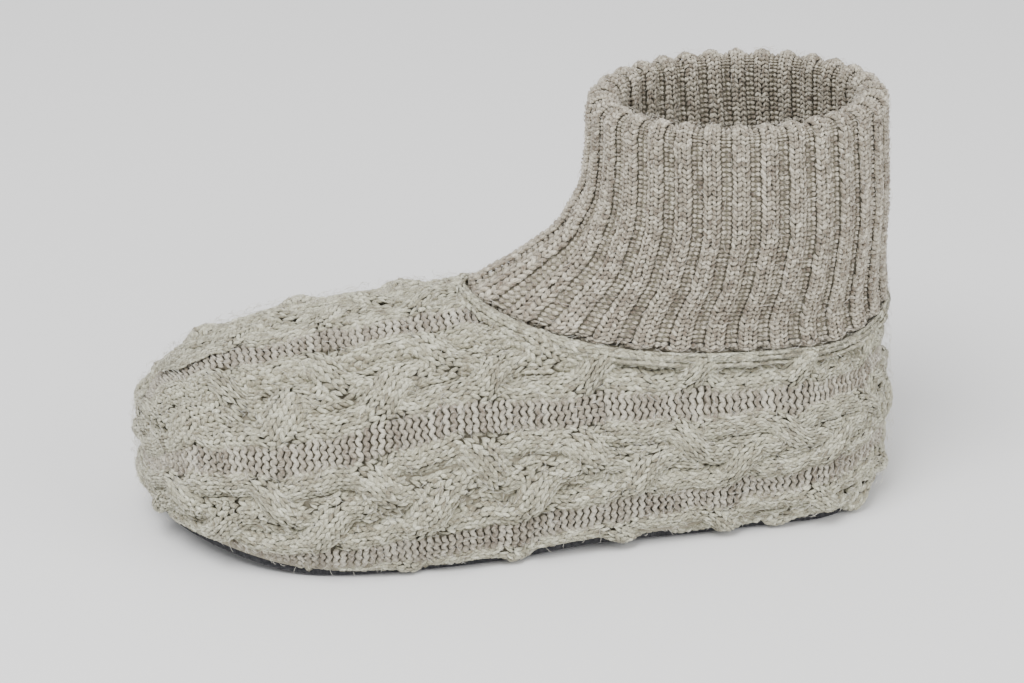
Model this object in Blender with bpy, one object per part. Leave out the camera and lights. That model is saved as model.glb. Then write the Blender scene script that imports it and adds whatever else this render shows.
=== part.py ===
"""Knitted slipper sock for the left foot, standing empty on its sole.

The foot is one hollow cable-knit wall, the cuff a ribbed tube folded inwards at its rim, and the sole and
the insole two soft plates that close the foot underneath. Every form is worked out from the sizes below.
X runs to the toe, Y to the wearer's left and Z up. All lengths are in metres.
"""

import bpy
import bmesh
import numpy as np

# Foot, in plan
LENGTH = 0.250
BALL_WIDTH = 0.101
HEEL_WIDTH = 0.087
BALL_FROM_BACK = 0.1775
HEEL_ROUND = 0.037
TOE_SHIFT = 0.0085
TOE_FULLNESS = 2.2

# Foot, from the side
BALL_HEIGHT = 0.0755
INSTEP_HEIGHT = 0.0790
TOE_HEIGHT = 0.034
WIDEST_HEIGHT = 0.0175
RIDGE_FULLNESS = 2.45

# Collar seam, where the cuff is sewn to the foot
COLLAR_FROM_BACK = 0.0025
COLLAR_LENGTH = 0.1395
COLLAR_WIDTH = 0.064
COLLAR_SIDE_HEIGHT = 0.0615
COLLAR_BACK_HEIGHT = 0.0680
COLLAR_FULLNESS = 2.2
COLLAR_LEAN = np.radians(62)
COLLAR_LEAN_GROWTH = 1.25

# Cuff
RIM_HEIGHT = 0.139
RIM_FROM_BACK = 0.0065
RIM_LENGTH = 0.097
RIM_WIDTH = 0.0765
RIM_ROLL = 0.0055
RIB_COUNT = 30
RIB_DEPTH = 0.0013

# Knitted wall
WALL = 0.0072
PLAIT_DEPTH = 0.0040
PLAIT_REPEAT = 0.033
TROUGH_WIDTH = 0.009
STRAND_WIDTH = 0.0105

# Sole and insole
SOLE_THICKNESS = 0.003
SOLE_INSET = 0.0070
SOLE_LIP = 0.0004
TURNED_EDGE = 0.0045
TOE_SPRING = 0.0085
TOE_SPRING_RUN = 0.055
ARCH_LIFT = 0.0015
ARCH_FROM_BACK = 0.068
ARCH_LENGTH = 0.075
INSOLE_THICKNESS = 0.003
SEAM_GAP = 0.0003
TURNED_UNDER = 0.012
SEWN_EDGE = 0.006
TOE_FADE = 0.012
MERGE = 2e-5

# How finely each form is divided
TOE_STATIONS = 17
MIDDLE_STATIONS = 31
HEEL_STATIONS = 10
PLAIT_ROWS = (4, 8, 8, 5)
LINING_STEPS = 6
COLUMNS_PER_RIB = 3
PLATE_STEPS = 4
SECTION_SAMPLES = 48

# The troughs between the plaits, as heights along the wall from the sole's edge. Each height is a share of
# the half girth at the ball, and each place a share of the length from the back of the heel.
TROUGHS = np.array(
    [
        # place, low, middle, top
        (0.00, 0.27, 0.48, 0.78),
        (0.20, 0.20, 0.46, 0.79),
        (0.50, 0.20, 0.56, 0.82),
        (0.60, 0.23, 0.60, 0.84),
        (0.70, 0.21, 0.56, 0.83),
        (0.80, 0.16, 0.52, 0.79),
        (0.90, 0.10, 0.43, 0.69),
        (0.97, 0.03, 0.31, 0.52),
        (1.00, -0.05, 0.20, 0.38),
    ]
)

# The cuff's outside, as shares of the way from the collar seam to the rim.
CUFF_LEVELS = np.array(
    [
        # height, front, back, width
        (0.00, 0.00, 0.00, 0.00),
        (0.12, 0.36, 0.25, -0.12),
        (0.30, 0.76, 0.50, 0.45),
        (0.55, 0.96, 0.50, 0.84),
        (0.80, 1.00, 0.80, 0.98),
        (1.00, 1.00, 1.00, 1.00),
    ]
)

# The cuff's lining, from the rim down, as shares of the cuff's height.
LINING_LEVELS = (0.80, 0.50, 0.22)

back_x = -LENGTH / 2
tip_x = LENGTH / 2
ball_x = back_x + BALL_FROM_BACK
heel_x = back_x + HEEL_ROUND
collar_back_x = back_x + COLLAR_FROM_BACK
collar_front_x = collar_back_x + COLLAR_LENGTH
rim_back_x = back_x + RIM_FROM_BACK
rim_front_x = rim_back_x + RIM_LENGTH


def smooth(share):
    """An even step from 0 to 1 with level ends."""
    share = np.clip(share, 0, 1)
    return share * share * (3 - 2 * share)


def rounded_cap(x, start, end, fullness):
    """1 up to the start, then a superellipse's quarter down to 0 at the end."""
    share = np.clip((x - start) / (end - start), 0, 1)
    return np.clip(1 - share**fullness, 0, 1) ** (1 / fullness)


def half_width(x):
    """Half of the foot's width in plan, from the heel's widest place to the toe."""
    side = HEEL_WIDTH + (BALL_WIDTH - HEEL_WIDTH) * smooth((x - heel_x) / (ball_x - heel_x))
    return side / 2 * rounded_cap(x, ball_x, tip_x, TOE_FULLNESS)


def ridge_height(x):
    """Height of the instep's middle line: level from the cuff to the ball, then a rounded toe."""
    slope = (BALL_HEIGHT - INSTEP_HEIGHT) / (ball_x - collar_front_x)
    line = INSTEP_HEIGHT + slope * (x - collar_front_x)
    return TOE_HEIGHT + (line - TOE_HEIGHT) * rounded_cap(x, ball_x, tip_x, RIDGE_FULLNESS)


def ridge_fall(x):
    """How steeply the middle line falls towards the toe. At the very tip it is upright."""
    step = 1e-5
    fall = (ridge_height(x - step) - ridge_height(x + step)) / (2 * step)
    return np.where(x < tip_x, fall, 1 / step)


def sole_rise(x):
    """Height of the sole's underside: flat under heel and ball, lifted at the arch and the toe."""
    toe = TOE_SPRING * smooth((x - tip_x + TOE_SPRING_RUN) / TOE_SPRING_RUN)
    share = np.clip((x - back_x - ARCH_FROM_BACK) / ARCH_LENGTH, 0, 1)
    return toe + ARCH_LIFT * np.sin(np.pi * share) ** 2


def shifted(points):
    """The points with the toe bent to the wearer's right, as on a left foot."""
    share = np.clip((points[..., 0] - collar_front_x) / (tip_x - collar_front_x), 0, 1)
    moved = points.copy()
    moved[..., 1] -= TOE_SHIFT * share**2
    return moved


def stations(toe_count, middle_count, heel_count):
    """Places along one side of the foot: x, and the angle round the heel, which is 0 ahead of it."""
    turn = np.linspace(0, np.pi / 2, toe_count, endpoint=False)
    toe = ball_x + (tip_x - ball_x) * np.cos(turn) ** (2 / TOE_FULLNESS)
    ahead = np.linspace(ball_x, collar_front_x, max(3, middle_count // 4), endpoint=False)
    turn = np.linspace(0, np.pi / 2, middle_count - len(ahead), endpoint=False)
    behind = heel_x + (collar_front_x - heel_x) * np.cos(turn) ** (2 / COLLAR_FULLNESS)
    angle = np.linspace(0, np.pi / 2, heel_count)
    x = np.concatenate([toe, ahead, behind, np.full(heel_count, heel_x)])
    return x, np.concatenate([np.zeros(len(x) - heel_count), angle])


def ellipse_reach(angle, along, across):
    """Distance from an ellipse's centre to its edge, at an angle from its cross axis."""
    return 1 / np.hypot(np.sin(angle) / along, np.cos(angle) / across)


def outward(angle):
    """The level direction that the heel's stations fan out in. Ahead of the heel it is straight sideways."""
    return np.stack([-np.sin(angle), np.cos(angle), np.zeros_like(angle)], 1)


def widest_line(x, angle):
    """The foot's widest line on its left side, and the level direction square to it."""
    width = np.where(angle > 0, ellipse_reach(angle, HEEL_ROUND, HEEL_WIDTH / 2), half_width(x))
    line = np.stack([x, np.zeros_like(x), np.full_like(x, WIDEST_HEIGHT)], 1) + outward(angle) * width[:, None]
    line[:, 2] += sole_rise(line[:, 0])
    run = np.gradient(line[:, :2], axis=0)
    square = np.stack([run[:, 1], -run[:, 0], np.zeros_like(x)], 1)
    square[0] = (1, 0, 0)
    square[-1] = (-1, 0, 0)
    return line, square / np.linalg.norm(square, axis=1)[:, None]


def top_line(x, angle):
    """The foot's top line: the ridge ahead of the cuff and the collar seam behind it.

    It gives the line, the line one wall inside it, and the wall's lean there.
    """
    reach = collar_front_x - heel_x
    along = np.clip((x - heel_x) / reach, 0, 1)
    front = COLLAR_WIDTH / 2 * np.clip(1 - along**COLLAR_FULLNESS, 0, 1) ** (1 / COLLAR_FULLNESS)
    back = ellipse_reach(angle, heel_x - collar_back_x, COLLAR_WIDTH / 2)
    on_ridge = x >= collar_front_x
    width = np.where(angle > 0, back, np.where(on_ridge, 0, front))
    side = COLLAR_SIDE_HEIGHT + (INSTEP_HEIGHT - COLLAR_SIDE_HEIGHT) * along**3
    rear = (COLLAR_BACK_HEIGHT - COLLAR_SIDE_HEIGHT) * np.sin(angle) ** 2
    height = np.where(on_ridge, ridge_height(x), side + rear)
    line = np.stack([x, np.zeros_like(x), height], 1) + outward(angle) * width[:, None]
    lean = COLLAR_LEAN * np.where(angle > 0, 1, 2 * width / COLLAR_WIDTH) ** COLLAR_LEAN_GROWTH
    slope = ridge_fall(x)
    ridge_normal = np.stack([slope, np.zeros_like(x), np.ones_like(x)], 1) / np.hypot(slope, 1)[:, None]
    leaning = outward(angle) * np.sin(lean)[:, None] + np.array([0, 0, 1]) * np.cos(lean)[:, None]
    normal = np.where(on_ridge[:, None], ridge_normal, leaning)
    return line, line - normal * WALL, lean


def bezier(a, b, c, d, count):
    """A cubic curve between a and d for every station, as an array of station by place."""
    t = np.linspace(0, 1, count)[None, :, None]
    a, b, c, d = (p[:, None] for p in (a, b, c, d))
    return (1 - t) ** 3 * a + 3 * (1 - t) ** 2 * t * b + 3 * (1 - t) * t * t * c + t**3 * d


def lengths(curves):
    """How far along each curve each of its points lies."""
    steps = np.linalg.norm(np.diff(curves, axis=1), axis=2)
    return np.concatenate([np.zeros((len(curves), 1)), np.cumsum(steps, axis=1)], axis=1)


def points_at(curves, places):
    """Each curve read at its own places, given as lengths along it."""
    rows = [
        np.stack([np.interp(place, run, curve[:, k]) for k in range(3)], 1)
        for place, run, curve in zip(places, lengths(curves), curves)
    ]
    return np.array(rows)


def wall_curves(edge, wide, top, angle, lean):
    """The wall's sections: a quarter round from the edge up to the widest line, then a dome to the top line."""
    arc = 4 / 3 * (np.sqrt(2) - 1)
    up = np.array([0, 0, 1.0])
    level = (wide - edge) * (1, 1, 0)
    rise = (wide - edge)[:, 2:]
    low = bezier(edge, edge + arc * level, wide - arc * rise * up, wide, SECTION_SAMPLES)
    span = top - wide
    across = np.linalg.norm(span[:, :2], axis=1)[:, None]
    pull = -outward(angle) * across * np.cos(lean)[:, None] + span[:, 2:] * np.sin(lean)[:, None] * up
    high = bezier(wide, wide + arc * span[:, 2:] * up, top - arc * pull, top, SECTION_SAMPLES)
    return np.concatenate([low, high[:, 1:]], axis=1)


def trough_heights(x, girth):
    """Heights along the wall of the low, middle and top trough at each station."""
    place = (x - back_x) / LENGTH
    ball_girth = np.interp(-ball_x, -x, girth)
    return [np.interp(place, TROUGHS[:, 0], TROUGHS[:, k]) * ball_girth for k in (1, 2, 3)]


def row_heights(troughs, girth):
    """Heights of the wall's rows: so many for each plait, so that rows and plaits run together."""
    low, middle, top = troughs
    low = np.maximum(low, 0.1 * girth)
    middle = np.minimum(middle, 0.8 * girth)
    upper = np.minimum(top, middle + (girth - middle) * 2 / 3)
    bands = zip((np.zeros_like(girth), low, middle, upper), (low, middle, upper, girth), PLAIT_ROWS)
    rows = [start + (end - start) * k / count for start, end, count in bands for k in range(count)]
    return np.stack([*rows, girth], 1)


def plait(across, along):
    """How high a three-strand plait stands, from 0 in the trough to 1 on a strand's crest.

    Each strand swings across on a sine and rises and dips twice as often, so it goes over one neighbour and
    under the other. The surface is the highest strand at each place.
    """
    turn = 2 * np.pi * along / (3 * PLAIT_REPEAT)
    period = 2 * STRAND_WIDTH + TROUGH_WIDTH
    swing = STRAND_WIDTH / period * 0.72
    height = np.zeros(np.broadcast(across, along).shape)
    for strand in range(3):
        phase = turn + 2 * np.pi * strand / 3
        off = (across - 0.5 - swing * np.sin(phase)) * period / (STRAND_WIDTH / 2)
        dome = np.sqrt(np.clip(1 - off**2 / 1.35, 0, 1))
        height = np.maximum(height, dome * (0.82 + 0.18 * np.sin(2 * phase)))
    return height


def plait_relief(wide, height, troughs, left):
    """How far the foot's wall stands back from its envelope at each point, from the plaits and troughs.

    The plaits fade where the wall is turned under the sole's edge, where the cuff is sewn to it, and at the
    toe, where both sides meet.
    """
    steps = np.linalg.norm(np.diff(wide[:, :2], axis=0), axis=1)
    along = np.concatenate([[0], np.cumsum(steps)])[:, None]
    low, middle, top = (trough[:, None] for trough in troughs)
    girth = height[:, -1:]
    period = 2 * STRAND_WIDTH + TROUGH_WIDTH
    from_ridge = (girth - height) / np.maximum(2 * (girth - top), period)
    bands = (
        (height < low, 1 - (low - height) / period, 0.0),
        ((height >= low) & (height < middle), (height - low) / (middle - low), 0.5),
        ((height >= middle) & (height < top), (height - middle) / (top - middle), 0.2),
        (height >= top, 0.5 - from_ridge if left else 0.5 + from_ridge, 0.7),
    )
    raised = np.zeros(height.shape)
    for inside, across, start in bands:
        raised = np.where(inside, plait(across, along + start * PLAIT_REPEAT), raised)
    ahead = smooth((wide[:, :1] - collar_front_x) / SEWN_EDGE)
    sewn = np.maximum(ahead, smooth((girth - height) / SEWN_EDGE))
    toe = smooth((tip_x - wide[:, :1]) / TOE_FADE)
    return PLAIT_DEPTH * (1 - raised) * smooth(height / TURNED_UNDER) * sewn * toe


def surface_normals(grid):
    """Unit normals of the left side's grid, pointing out. On the middle plane they lie in that plane."""
    normal = np.cross(np.gradient(grid, axis=0), np.gradient(grid, axis=1))
    normal[np.abs(grid[..., 1]) < 1e-7, 1] = 0
    normal[0] = (1, 0, 0)
    return normal / np.maximum(np.linalg.norm(normal, axis=2, keepdims=True), 1e-12)


def foot_side(left):
    """The foot's outer and inner surfaces on one side, each as stations by rows from the edge up."""
    x, angle = stations(TOE_STATIONS, MIDDLE_STATIONS, HEEL_STATIONS)
    wide, square = widest_line(x, angle)
    top, inner_top, lean = top_line(x, angle)
    curves = wall_curves(foot_edge(wide, square, 0), wide, top, angle, lean)
    girth = lengths(curves)[:, -1]
    troughs = trough_heights(wide[:, 0], girth)
    height = row_heights(troughs, girth)
    outer = points_at(curves, height)
    relief = plait_relief(wide, height, troughs, left)
    relief[[0, -1]] = plait_relief(wide, height, troughs, True)[[0, -1]]
    outer = outer - surface_normals(outer) * relief[..., None]
    inner_edge = foot_edge(wide, square, TURNED_EDGE)
    inner = wall_curves(inner_edge, wide - square * WALL, inner_top, angle, lean)
    inner = points_at(inner, lengths(inner)[:, -1:] * np.linspace(0, 1, LINING_STEPS + 1))
    mirror = np.array([1, 1 if left else -1, 1])
    return outer * mirror, inner * mirror, x >= collar_front_x


def foot_edge(wide, square, inset):
    """The foot's lower edge, as far inside the widest line as it is turned under, and an inset more."""
    edge = wide - square * (SOLE_INSET + inset)
    edge[:, 2] = sole_rise(edge[:, 0]) + SOLE_THICKNESS + SEAM_GAP
    return edge


def foot_rings():
    """Rings of points round the foot's wall, outside up and inside down, from the toe round the heel and back.

    It also says which faces are made: the two sides share their middle line ahead of the collar, so no
    strip closes the wall there.
    """
    rings = []
    makes = []
    for left in (True, False):
        outer, inner, on_ridge = foot_side(left)
        ring = np.concatenate([outer, inner[:, ::-1]], axis=1)
        made = np.ones(ring.shape[:2], bool)
        closed = on_ridge[:-1] & on_ridge[1:]
        made[:-1, outer.shape[1] - 1] = ~closed
        if not left:
            ring = ring[::-1]
            made[:-1] = made[:-1][::-1]
        rings.append(ring)
        makes.append(made)
    return np.concatenate(rings), np.concatenate(makes)


def even_half(line, count):
    """A half loop's points at equal steps of its own length."""
    total = lengths(line[None])[0, -1]
    return points_at(line[None], [np.linspace(0, total, count)])[0]


def whole_loop(half):
    """A half loop on the left, front to back, carried on along its mirror image to the front again."""
    return np.concatenate([half, half[-2:0:-1] * (1, -1, 1)])


def collar_loops(count):
    """The collar seam and the line one wall inside it, at equal steps of the seam."""
    x, angle = stations(1, 8 * MIDDLE_STATIONS, 8 * HEEL_STATIONS)
    line, inside, _ = top_line(x, angle)
    behind = x <= collar_front_x
    line, inside = line[behind], inside[behind]
    length = lengths(line[None])[0]
    places = np.linspace(0, length[-1], count)
    halves = (np.stack([np.interp(places, length, part[:, k]) for k in range(3)], 1) for part in (line, inside))
    return [whole_loop(half) for half in halves]


def cuff_level(share, count, floor):
    """The cuff's outside at a share of its height: an egg-shaped loop over the collar seam below it."""
    front, back, width = (np.interp(share, CUFF_LEVELS[:, 0], CUFF_LEVELS[:, k]) for k in (1, 2, 3))
    front_x = collar_front_x + (rim_front_x - collar_front_x) * front
    end_x = collar_back_x + (rim_back_x - collar_back_x) * back
    half = (COLLAR_WIDTH + (RIM_WIDTH - COLLAR_WIDTH) * width) / 2
    middle = heel_x + ((front_x + end_x) / 2 - heel_x) * share
    turn = np.linspace(0, np.pi, SECTION_SAMPLES * 4)
    ahead = np.cos(turn) > 0
    power = np.where(ahead, 2 / (COLLAR_FULLNESS + (2 - COLLAR_FULLNESS) * share), 1)
    reach = np.where(ahead, front_x - middle, middle - end_x) * np.sign(np.cos(turn))
    x = middle + reach * np.abs(np.cos(turn)) ** power
    y = half * np.clip(np.sin(turn), 0, 1) ** power
    loop = whole_loop(even_half(np.stack([x, y, np.zeros_like(x)], 1), count))
    top = RIM_HEIGHT - RIM_ROLL
    loop[:, 2] = floor[:, 2] + (top - floor[:, 2]) * share
    return loop


def inset(loop, amount):
    """A loop moved level towards its inside."""
    run = np.roll(loop, -1, axis=0) - np.roll(loop, 1, axis=0)
    side = np.stack([run[:, 1], -run[:, 0], np.zeros(len(run))], 1)
    side /= np.linalg.norm(side, axis=1)[:, None]
    amount = np.broadcast_to(amount, len(loop))
    return loop - side * amount[:, None]


def cuff_rings():
    """Rings round the cuff's wall: up the outside, over the rolled rim and down the lining to the seam."""
    count = RIB_COUNT * COLUMNS_PER_RIB // 2 + 1
    seam, seam_inside = collar_loops(count)
    groove = np.where(np.arange(len(seam)) % COLUMNS_PER_RIB == 0, RIB_DEPTH, 0)
    outside = [cuff_level(share, count, seam) for share in CUFF_LEVELS[1:, 0]]
    run = np.roll(seam, -1, axis=0) - np.roll(seam, 1, axis=0)
    away = np.cross(run, seam_inside - seam)
    away *= SEAM_GAP * 4 / 3 / np.linalg.norm(away, axis=1)[:, None]
    rings = [seam + away]
    rings += [inset(loop, groove) for loop in outside]
    for turn in np.linspace(0, np.pi, 6)[1:]:
        rolled = inset(outside[-1], RIM_ROLL * (1 - np.cos(turn)) + groove * np.cos(turn))
        rolled[:, 2] += RIM_ROLL * np.sin(turn)
        rings.append(rolled)
    for share in LINING_LEVELS:
        wall = WALL + (2 * RIM_ROLL - WALL) * smooth(2 * share)
        rings.append(inset(cuff_level(share, count, seam), wall - groove))
    rings.append(seam_inside + away)
    return np.array(rings), np.ones((len(rings), len(seam)), bool)


def plate_rings(inset_by, underside, thickness):
    """Rings round a soft plate, one across each station: along its underside and back over its top."""
    x, angle = stations(TOE_STATIONS * 2 // 3, MIDDLE_STATIONS // 2, HEEL_STATIONS * 2 // 3)
    wide, square = widest_line(x, angle)
    edge = foot_edge(wide, square, inset_by)
    shares = np.linspace(-1, 1, PLATE_STEPS + 1)
    across = np.repeat(edge[:, None], len(shares), axis=1)
    across[..., 1] *= shares
    across[..., 2] = sole_rise(across[..., 0]) + underside
    over = across[:, ::-1] + (0, 0, thickness)
    rings = np.concatenate([across, over], axis=1)
    made = np.ones(rings.shape[:2], bool)
    made[-1] = False
    return rings, made


def wool(name, colour, roughness):
    """A plain finish of one colour."""
    finish = bpy.data.materials.new(name)
    finish.use_nodes = True
    shader = finish.node_tree.nodes["Principled BSDF"]
    shader.inputs["Base Color"].default_value = (*colour, 1)
    shader.inputs["Roughness"].default_value = roughness
    finish.diffuse_color = (*colour, 1)
    return finish


def piece(name, rings, made, finish):
    """A closed body from rings of points, each joined to the next and the last to the first."""
    rows, columns = rings.shape[:2]
    mesh = bmesh.new()
    points = [mesh.verts.new(point) for point in rings.reshape(-1, 3)]
    for row, column in zip(*np.nonzero(made)):
        near, far = row * columns, (row + 1) % rows * columns
        beside = (column + 1) % columns
        mesh.faces.new([points[k] for k in (near + column, near + beside, far + beside, far + column)])
    bmesh.ops.remove_doubles(mesh, verts=mesh.verts[:], dist=MERGE)
    bmesh.ops.triangulate(mesh, faces=mesh.faces[:])
    bmesh.ops.recalc_face_normals(mesh, faces=mesh.faces[:])
    data = bpy.data.meshes.new(name)
    mesh.to_mesh(data)
    mesh.free()
    data.materials.append(finish)
    data.shade_smooth()
    sock.objects.link(bpy.data.objects.new(name, data))


for old in list(bpy.data.objects):
    bpy.data.objects.remove(old, do_unlink=True)
sock = bpy.data.collections.new("slipper_sock")
bpy.context.scene.collection.children.link(sock)

sole_top = SOLE_THICKNESS + SEAM_GAP
forms = {
    "upper": (*foot_rings(), wool("grey_wool", (0.42, 0.40, 0.34), 0.95)),
    "cuff": (*cuff_rings(), wool("taupe_wool", (0.36, 0.32, 0.27), 0.95)),
    "sole": (*plate_rings(-SOLE_LIP, 0, SOLE_THICKNESS), wool("sole_cloth", (0.035, 0.035, 0.04), 0.85)),
    "insole": (
        *plate_rings(TURNED_EDGE + 2 * SEAM_GAP, sole_top, INSOLE_THICKNESS),
        wool("insole_felt", (0.40, 0.38, 0.33), 0.95),
    ),
}

# The toe's bend moves the widest places a little to one side, so the whole is centred again
bent = {name: shifted(form[0]) for name, form in forms.items()}
everything = np.concatenate([points.reshape(-1, 3) for points in bent.values()])
centre = (everything.max(axis=0) + everything.min(axis=0)) / 2 * (1, 1, 0)
for name, (_, made, finish) in forms.items():
    piece(name, bent[name] - centre, made, finish)
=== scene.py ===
"""A knitted slipper sock for the left foot, stitch by stitch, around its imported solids."""

import bmesh
import bpy
import numpy as np
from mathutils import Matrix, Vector


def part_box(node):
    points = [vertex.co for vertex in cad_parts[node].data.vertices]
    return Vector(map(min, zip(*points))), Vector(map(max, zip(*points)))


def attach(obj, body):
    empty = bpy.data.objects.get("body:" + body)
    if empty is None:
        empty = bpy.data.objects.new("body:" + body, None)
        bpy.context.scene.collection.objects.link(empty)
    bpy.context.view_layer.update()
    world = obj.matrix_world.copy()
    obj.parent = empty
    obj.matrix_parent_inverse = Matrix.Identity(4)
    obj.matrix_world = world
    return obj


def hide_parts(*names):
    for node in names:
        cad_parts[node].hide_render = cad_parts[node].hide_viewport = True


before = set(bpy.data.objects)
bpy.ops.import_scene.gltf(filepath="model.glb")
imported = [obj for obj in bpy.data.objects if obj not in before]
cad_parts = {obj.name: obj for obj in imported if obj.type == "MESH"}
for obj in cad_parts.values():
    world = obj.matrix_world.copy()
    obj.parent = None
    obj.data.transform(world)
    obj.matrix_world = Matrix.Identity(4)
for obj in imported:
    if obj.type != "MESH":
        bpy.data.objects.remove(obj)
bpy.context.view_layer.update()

# Foot
# The foot is one thick piece of grey-beige wool, knitted lengthwise: plaits of three strands run round it
# from toe to heel, with troughs of reverse stitches between them. Its lower edge turns in above the sole,
# and its upper edge is bound off at the collar. Sizes are in metres, the solid upper's own.

LENGTH = 0.250
BALL_WIDTH = 0.101
HEEL_WIDTH = 0.087
BALL_FROM_BACK = 0.1775
HEEL_ROUND = 0.037
TOE_SHIFT = 0.0085
TOE_FULLNESS = 2.2
BALL_HEIGHT = 0.0755
INSTEP_HEIGHT = 0.0790
TOE_HEIGHT = 0.034
WIDEST_HEIGHT = 0.0175
RIDGE_FULLNESS = 2.45
COLLAR_FROM_BACK = 0.0025
COLLAR_LENGTH = 0.1395
COLLAR_WIDTH = 0.064
COLLAR_SIDE_HEIGHT = 0.0615
COLLAR_BACK_HEIGHT = 0.0680
COLLAR_FULLNESS = 2.2
COLLAR_LEAN = np.radians(62)
COLLAR_LEAN_GROWTH = 1.25
WALL = 0.0072
SOLE_THICKNESS = 0.003
SOLE_INSET = 0.0070
SEAM_GAP = 0.0003
TOE_SPRING = 0.0085
TOE_SPRING_RUN = 0.055
ARCH_LIFT = 0.0015
ARCH_FROM_BACK = 0.068
ARCH_LENGTH = 0.075
TURNED_EDGE = 0.0045
KNIT_INSET = 0.0060
KNIT_CLEAR = 0.0010
LOW_FULLNESS = 0.72
SOLE_LIP = 0.0004

back_x = -LENGTH / 2
tip_x = LENGTH / 2
ball_x = back_x + BALL_FROM_BACK
heel_x = back_x + HEEL_ROUND
collar_back_x = back_x + COLLAR_FROM_BACK
collar_front_x = collar_back_x + COLLAR_LENGTH


def smooth(share):
    """An even step from 0 to 1 with level ends: 3t^2 - 2t^3."""
    share = np.clip(share, 0, 1)
    return share * share * (3 - 2 * share)


def rounded_cap(x, start, end, fullness):
    """1 up to the start, then a superellipse's quarter down to 0 at the end: (1 - t^n)^(1/n)."""
    share = np.clip((x - start) / (end - start), 0, 1)
    return np.clip(1 - share**fullness, 0, 1) ** (1 / fullness)


def ridge_height(x):
    """The instep's middle line: a straight fall from collar to ball, under a superellipse at the toe."""
    slope = (BALL_HEIGHT - INSTEP_HEIGHT) / (ball_x - collar_front_x)
    line = INSTEP_HEIGHT + slope * (x - collar_front_x)
    return TOE_HEIGHT + (line - TOE_HEIGHT) * rounded_cap(x, ball_x, tip_x, RIDGE_FULLNESS)


def sole_rise(x):
    """The underside's height: 0 under heel and ball, a squared sine at the arch, an even step at the toe."""
    toe = TOE_SPRING * smooth((x - tip_x + TOE_SPRING_RUN) / TOE_SPRING_RUN)
    share = np.clip((x - back_x - ARCH_FROM_BACK) / ARCH_LENGTH, 0, 1)
    return toe + ARCH_LIFT * np.sin(np.pi * share) ** 2


def placed(points):
    """Points of the straight form where the shoe has them: centred, the toe bent aside by a square law."""
    share = np.clip((points[..., 0] - collar_front_x) / (tip_x - collar_front_x), 0, 1)
    moved = points - form_centre
    moved[..., 1] -= TOE_SHIFT * share**2
    return moved


def stations(toe, ahead, behind, heel):
    """Places along one side, toe to heel: x, and the angle round the heel. Cosines space them at the toe."""
    turn = np.linspace(0, np.pi / 2, toe, endpoint=False)
    front = ball_x + (tip_x - ball_x) * np.cos(turn) ** (2 / TOE_FULLNESS)
    middle = np.linspace(ball_x, collar_front_x, ahead, endpoint=False)
    turn = np.linspace(0, np.pi / 2, behind, endpoint=False)
    rear = heel_x + (collar_front_x - heel_x) * np.cos(turn) ** (2 / COLLAR_FULLNESS)
    angle = np.linspace(0, np.pi / 2, heel)
    x = np.concatenate([front, middle, rear, np.full(heel, heel_x)])
    return x, np.concatenate([np.zeros(len(x) - heel), angle])


def ellipse_reach(angle, along, across):
    """Distance from an ellipse's centre to its edge: 1 / hypot(sin / a, cos / b)."""
    return 1 / np.hypot(np.sin(angle) / along, np.cos(angle) / across)


def outward(angle):
    """The level direction in which the heel's stations fan out."""
    return np.stack([-np.sin(angle), np.cos(angle), np.zeros_like(angle)], 1)


def widest_line(x, angle):
    """The foot's widest line, an ellipse at the heel and a superellipse at the toe, and its level normal."""
    grown = HEEL_WIDTH + (BALL_WIDTH - HEEL_WIDTH) * smooth((x - heel_x) / (ball_x - heel_x))
    side = grown / 2 * rounded_cap(x, ball_x, tip_x, TOE_FULLNESS)
    width = np.where(angle > 0, ellipse_reach(angle, HEEL_ROUND, HEEL_WIDTH / 2), side)
    line = np.stack([x, np.zeros_like(x), np.full_like(x, WIDEST_HEIGHT)], 1)
    line += outward(angle) * width[:, None]
    line[:, 2] += sole_rise(line[:, 0])
    run = np.gradient(line[:, :2], axis=0)
    square = np.stack([run[:, 1], -run[:, 0], np.zeros_like(x)], 1)
    square[[0, -1]] = (1, 0, 0), (-1, 0, 0)
    return line, square / np.linalg.norm(square, axis=1)[:, None]


def top_line(x, angle):
    """The ridge ahead of the cuff and the collar seam behind it, the line one wall inside, and the lean."""
    along = np.clip((x - heel_x) / (collar_front_x - heel_x), 0, 1)
    on_ridge = x >= collar_front_x
    front = COLLAR_WIDTH / 2 * np.clip(1 - along**COLLAR_FULLNESS, 0, 1) ** (1 / COLLAR_FULLNESS)
    back = ellipse_reach(angle, heel_x - collar_back_x, COLLAR_WIDTH / 2)
    width = np.where(angle > 0, back, np.where(on_ridge, 0, front))
    side = COLLAR_SIDE_HEIGHT + (INSTEP_HEIGHT - COLLAR_SIDE_HEIGHT) * along**3
    rear = (COLLAR_BACK_HEIGHT - COLLAR_SIDE_HEIGHT) * np.sin(angle) ** 2
    height = np.where(on_ridge, ridge_height(x), side + rear)
    line = np.stack([x, np.zeros_like(x), height], 1) + outward(angle) * width[:, None]
    lean = COLLAR_LEAN * np.where(angle > 0, 1, 2 * width / COLLAR_WIDTH) ** COLLAR_LEAN_GROWTH
    step = 1e-5
    fall = np.where(x < tip_x, (ridge_height(x - step) - ridge_height(x + step)) / (2 * step), 1 / step)
    ridge_normal = np.stack([fall, np.zeros_like(x), np.ones_like(x)], 1) / np.hypot(fall, 1)[:, None]
    leaning = outward(angle) * np.sin(lean)[:, None] + np.array([0, 0, 1]) * np.cos(lean)[:, None]
    return line, line - np.where(on_ridge[:, None], ridge_normal, leaning) * WALL, lean


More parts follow.
